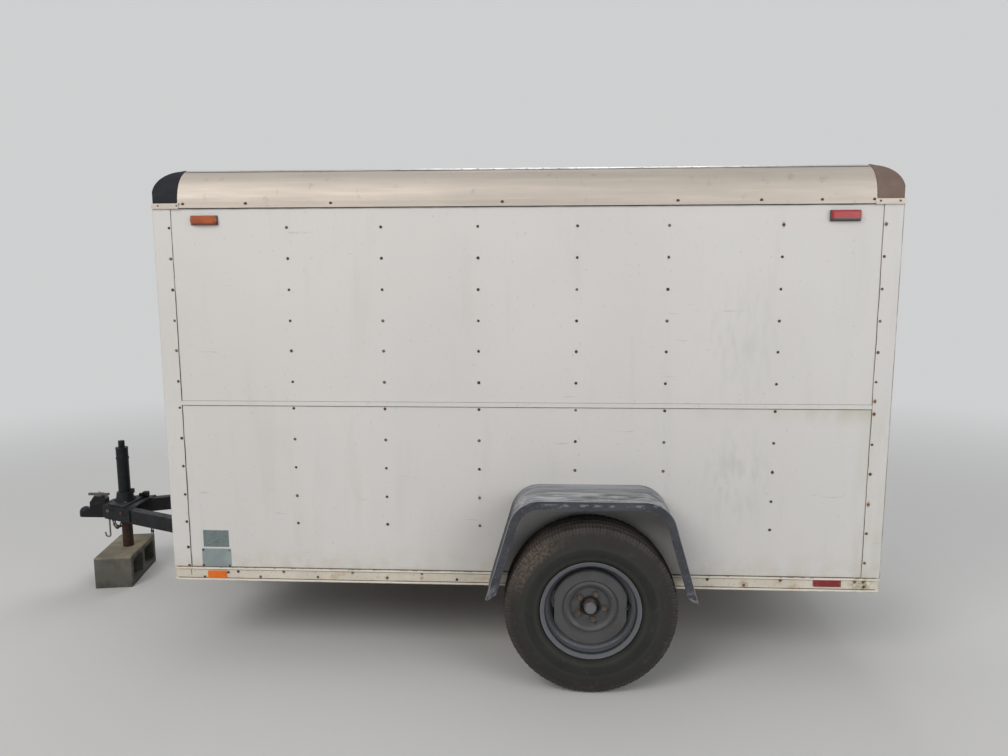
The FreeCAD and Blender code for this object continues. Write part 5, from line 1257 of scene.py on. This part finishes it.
# Name, place, aim, size, power and colour
LAMPS = (
    ("key", (-3.5, -6.5, 6.0), (0.3, 0.0, 1.0), 5.0, 360.0, (1.0, 0.97, 0.93)),
    ("fill", (5.0, -5.0, 3.0), (0.5, 0.0, 1.0), 4.0, 125.0, (0.97, 0.98, 1.0)),
    ("back", (1.0, 6.0, 6.0), (0.3, 0.0, 1.0), 5.0, 230.0, (1.0, 1.0, 1.0)),
)


def seen_by(tree, *rays):
    """1 for these kinds of rays, such as the camera's, and 0 for the rest."""
    path = put(tree, "ShaderNodeLightPath").outputs
    seen = 0.0
    for ray in rays:
        seen = calc(tree, "MAXIMUM", path["Is %s Ray" % ray], seen)
    return seen


def stage():
    """A pale floor that runs into the backdrop away from the trailer."""
    floor = bpy.data.meshes.new("studio_floor")
    obj = shown("studio_floor", floor)
    corners = [(x * FLOOR_REACH, y * FLOOR_REACH, 0) for x, y in ((-1, -1), (1, -1), (1, 1), (-1, 1))]
    floor.from_pydata(corners, [], [(0, 1, 2, 3)])
    paint = Finish("studio_floor", (0.56, 0.555, 0.545), 0.85)
    tree = paint.tree
    far = paint.near((0.5, 0, 0), FADE_TO, FADE_FROM, (1, 1, 1))
    glow = first(tree, "ShaderNodeEmission", {"Color": BACKDROP, "Strength": 1.0})
    mixed = first(tree, "ShaderNodeMixShader", {
        0: paint.both(far, seen_by(tree, "Camera", "Glossy")), 1: paint.shader.outputs[0], 2: glow,
    })
    out = next(n for n in tree.nodes if n.type == "OUTPUT_MATERIAL")
    tree.links.new(mixed, out.inputs[0])
    floor.materials.append(paint.material)


def world():
    """Even soft light, with a pale backdrop for what the camera and reflections see."""
    sky = bpy.data.worlds.new("studio")
    bpy.context.scene.world = sky
    sky.use_nodes = True
    tree = sky.node_tree
    tree.nodes.clear()
    light = first(tree, "ShaderNodeBackground", {"Color": (0.95, 0.97, 1.0, 1), "Strength": 0.48})
    back = first(tree, "ShaderNodeBackground", {"Color": BACKDROP, "Strength": 1.0})
    seen = seen_by(tree, "Camera", "Glossy", "Transmission")
    mixed = first(tree, "ShaderNodeMixShader", {0: seen, 1: light, 2: back})
    put(tree, "ShaderNodeOutputWorld", {0: mixed})


def lamps():
    for name, place, aim, size, power, color in LAMPS:
        data = bpy.data.lights.new(name, "AREA")
        data.shape = "DISK"
        data.size = size
        data.energy = power
        data.color = color
        obj = shown(name, data)
        obj.location = place
        obj.rotation_euler = (Vector(aim) - Vector(place)).to_track_quat("-Z", "Y").to_euler()


def camera():
    """The photograph's view: from the left side, a little above the middle, looking slightly down."""
    data = bpy.data.cameras.new("view")
    data.sensor_width = FILM_MM
    data.lens = FOCAL_PX / FRAME_PX * FILM_MM
    obj = shown("view", data)
    obj.location = CAMERA_AT
    obj.rotation_euler = [math.radians(turn) for turn in CAMERA_TURNS]
    bpy.context.scene.camera = obj


stage()
world()
lamps()
camera()
bpy.context.scene.view_settings.view_transform = "Standard"
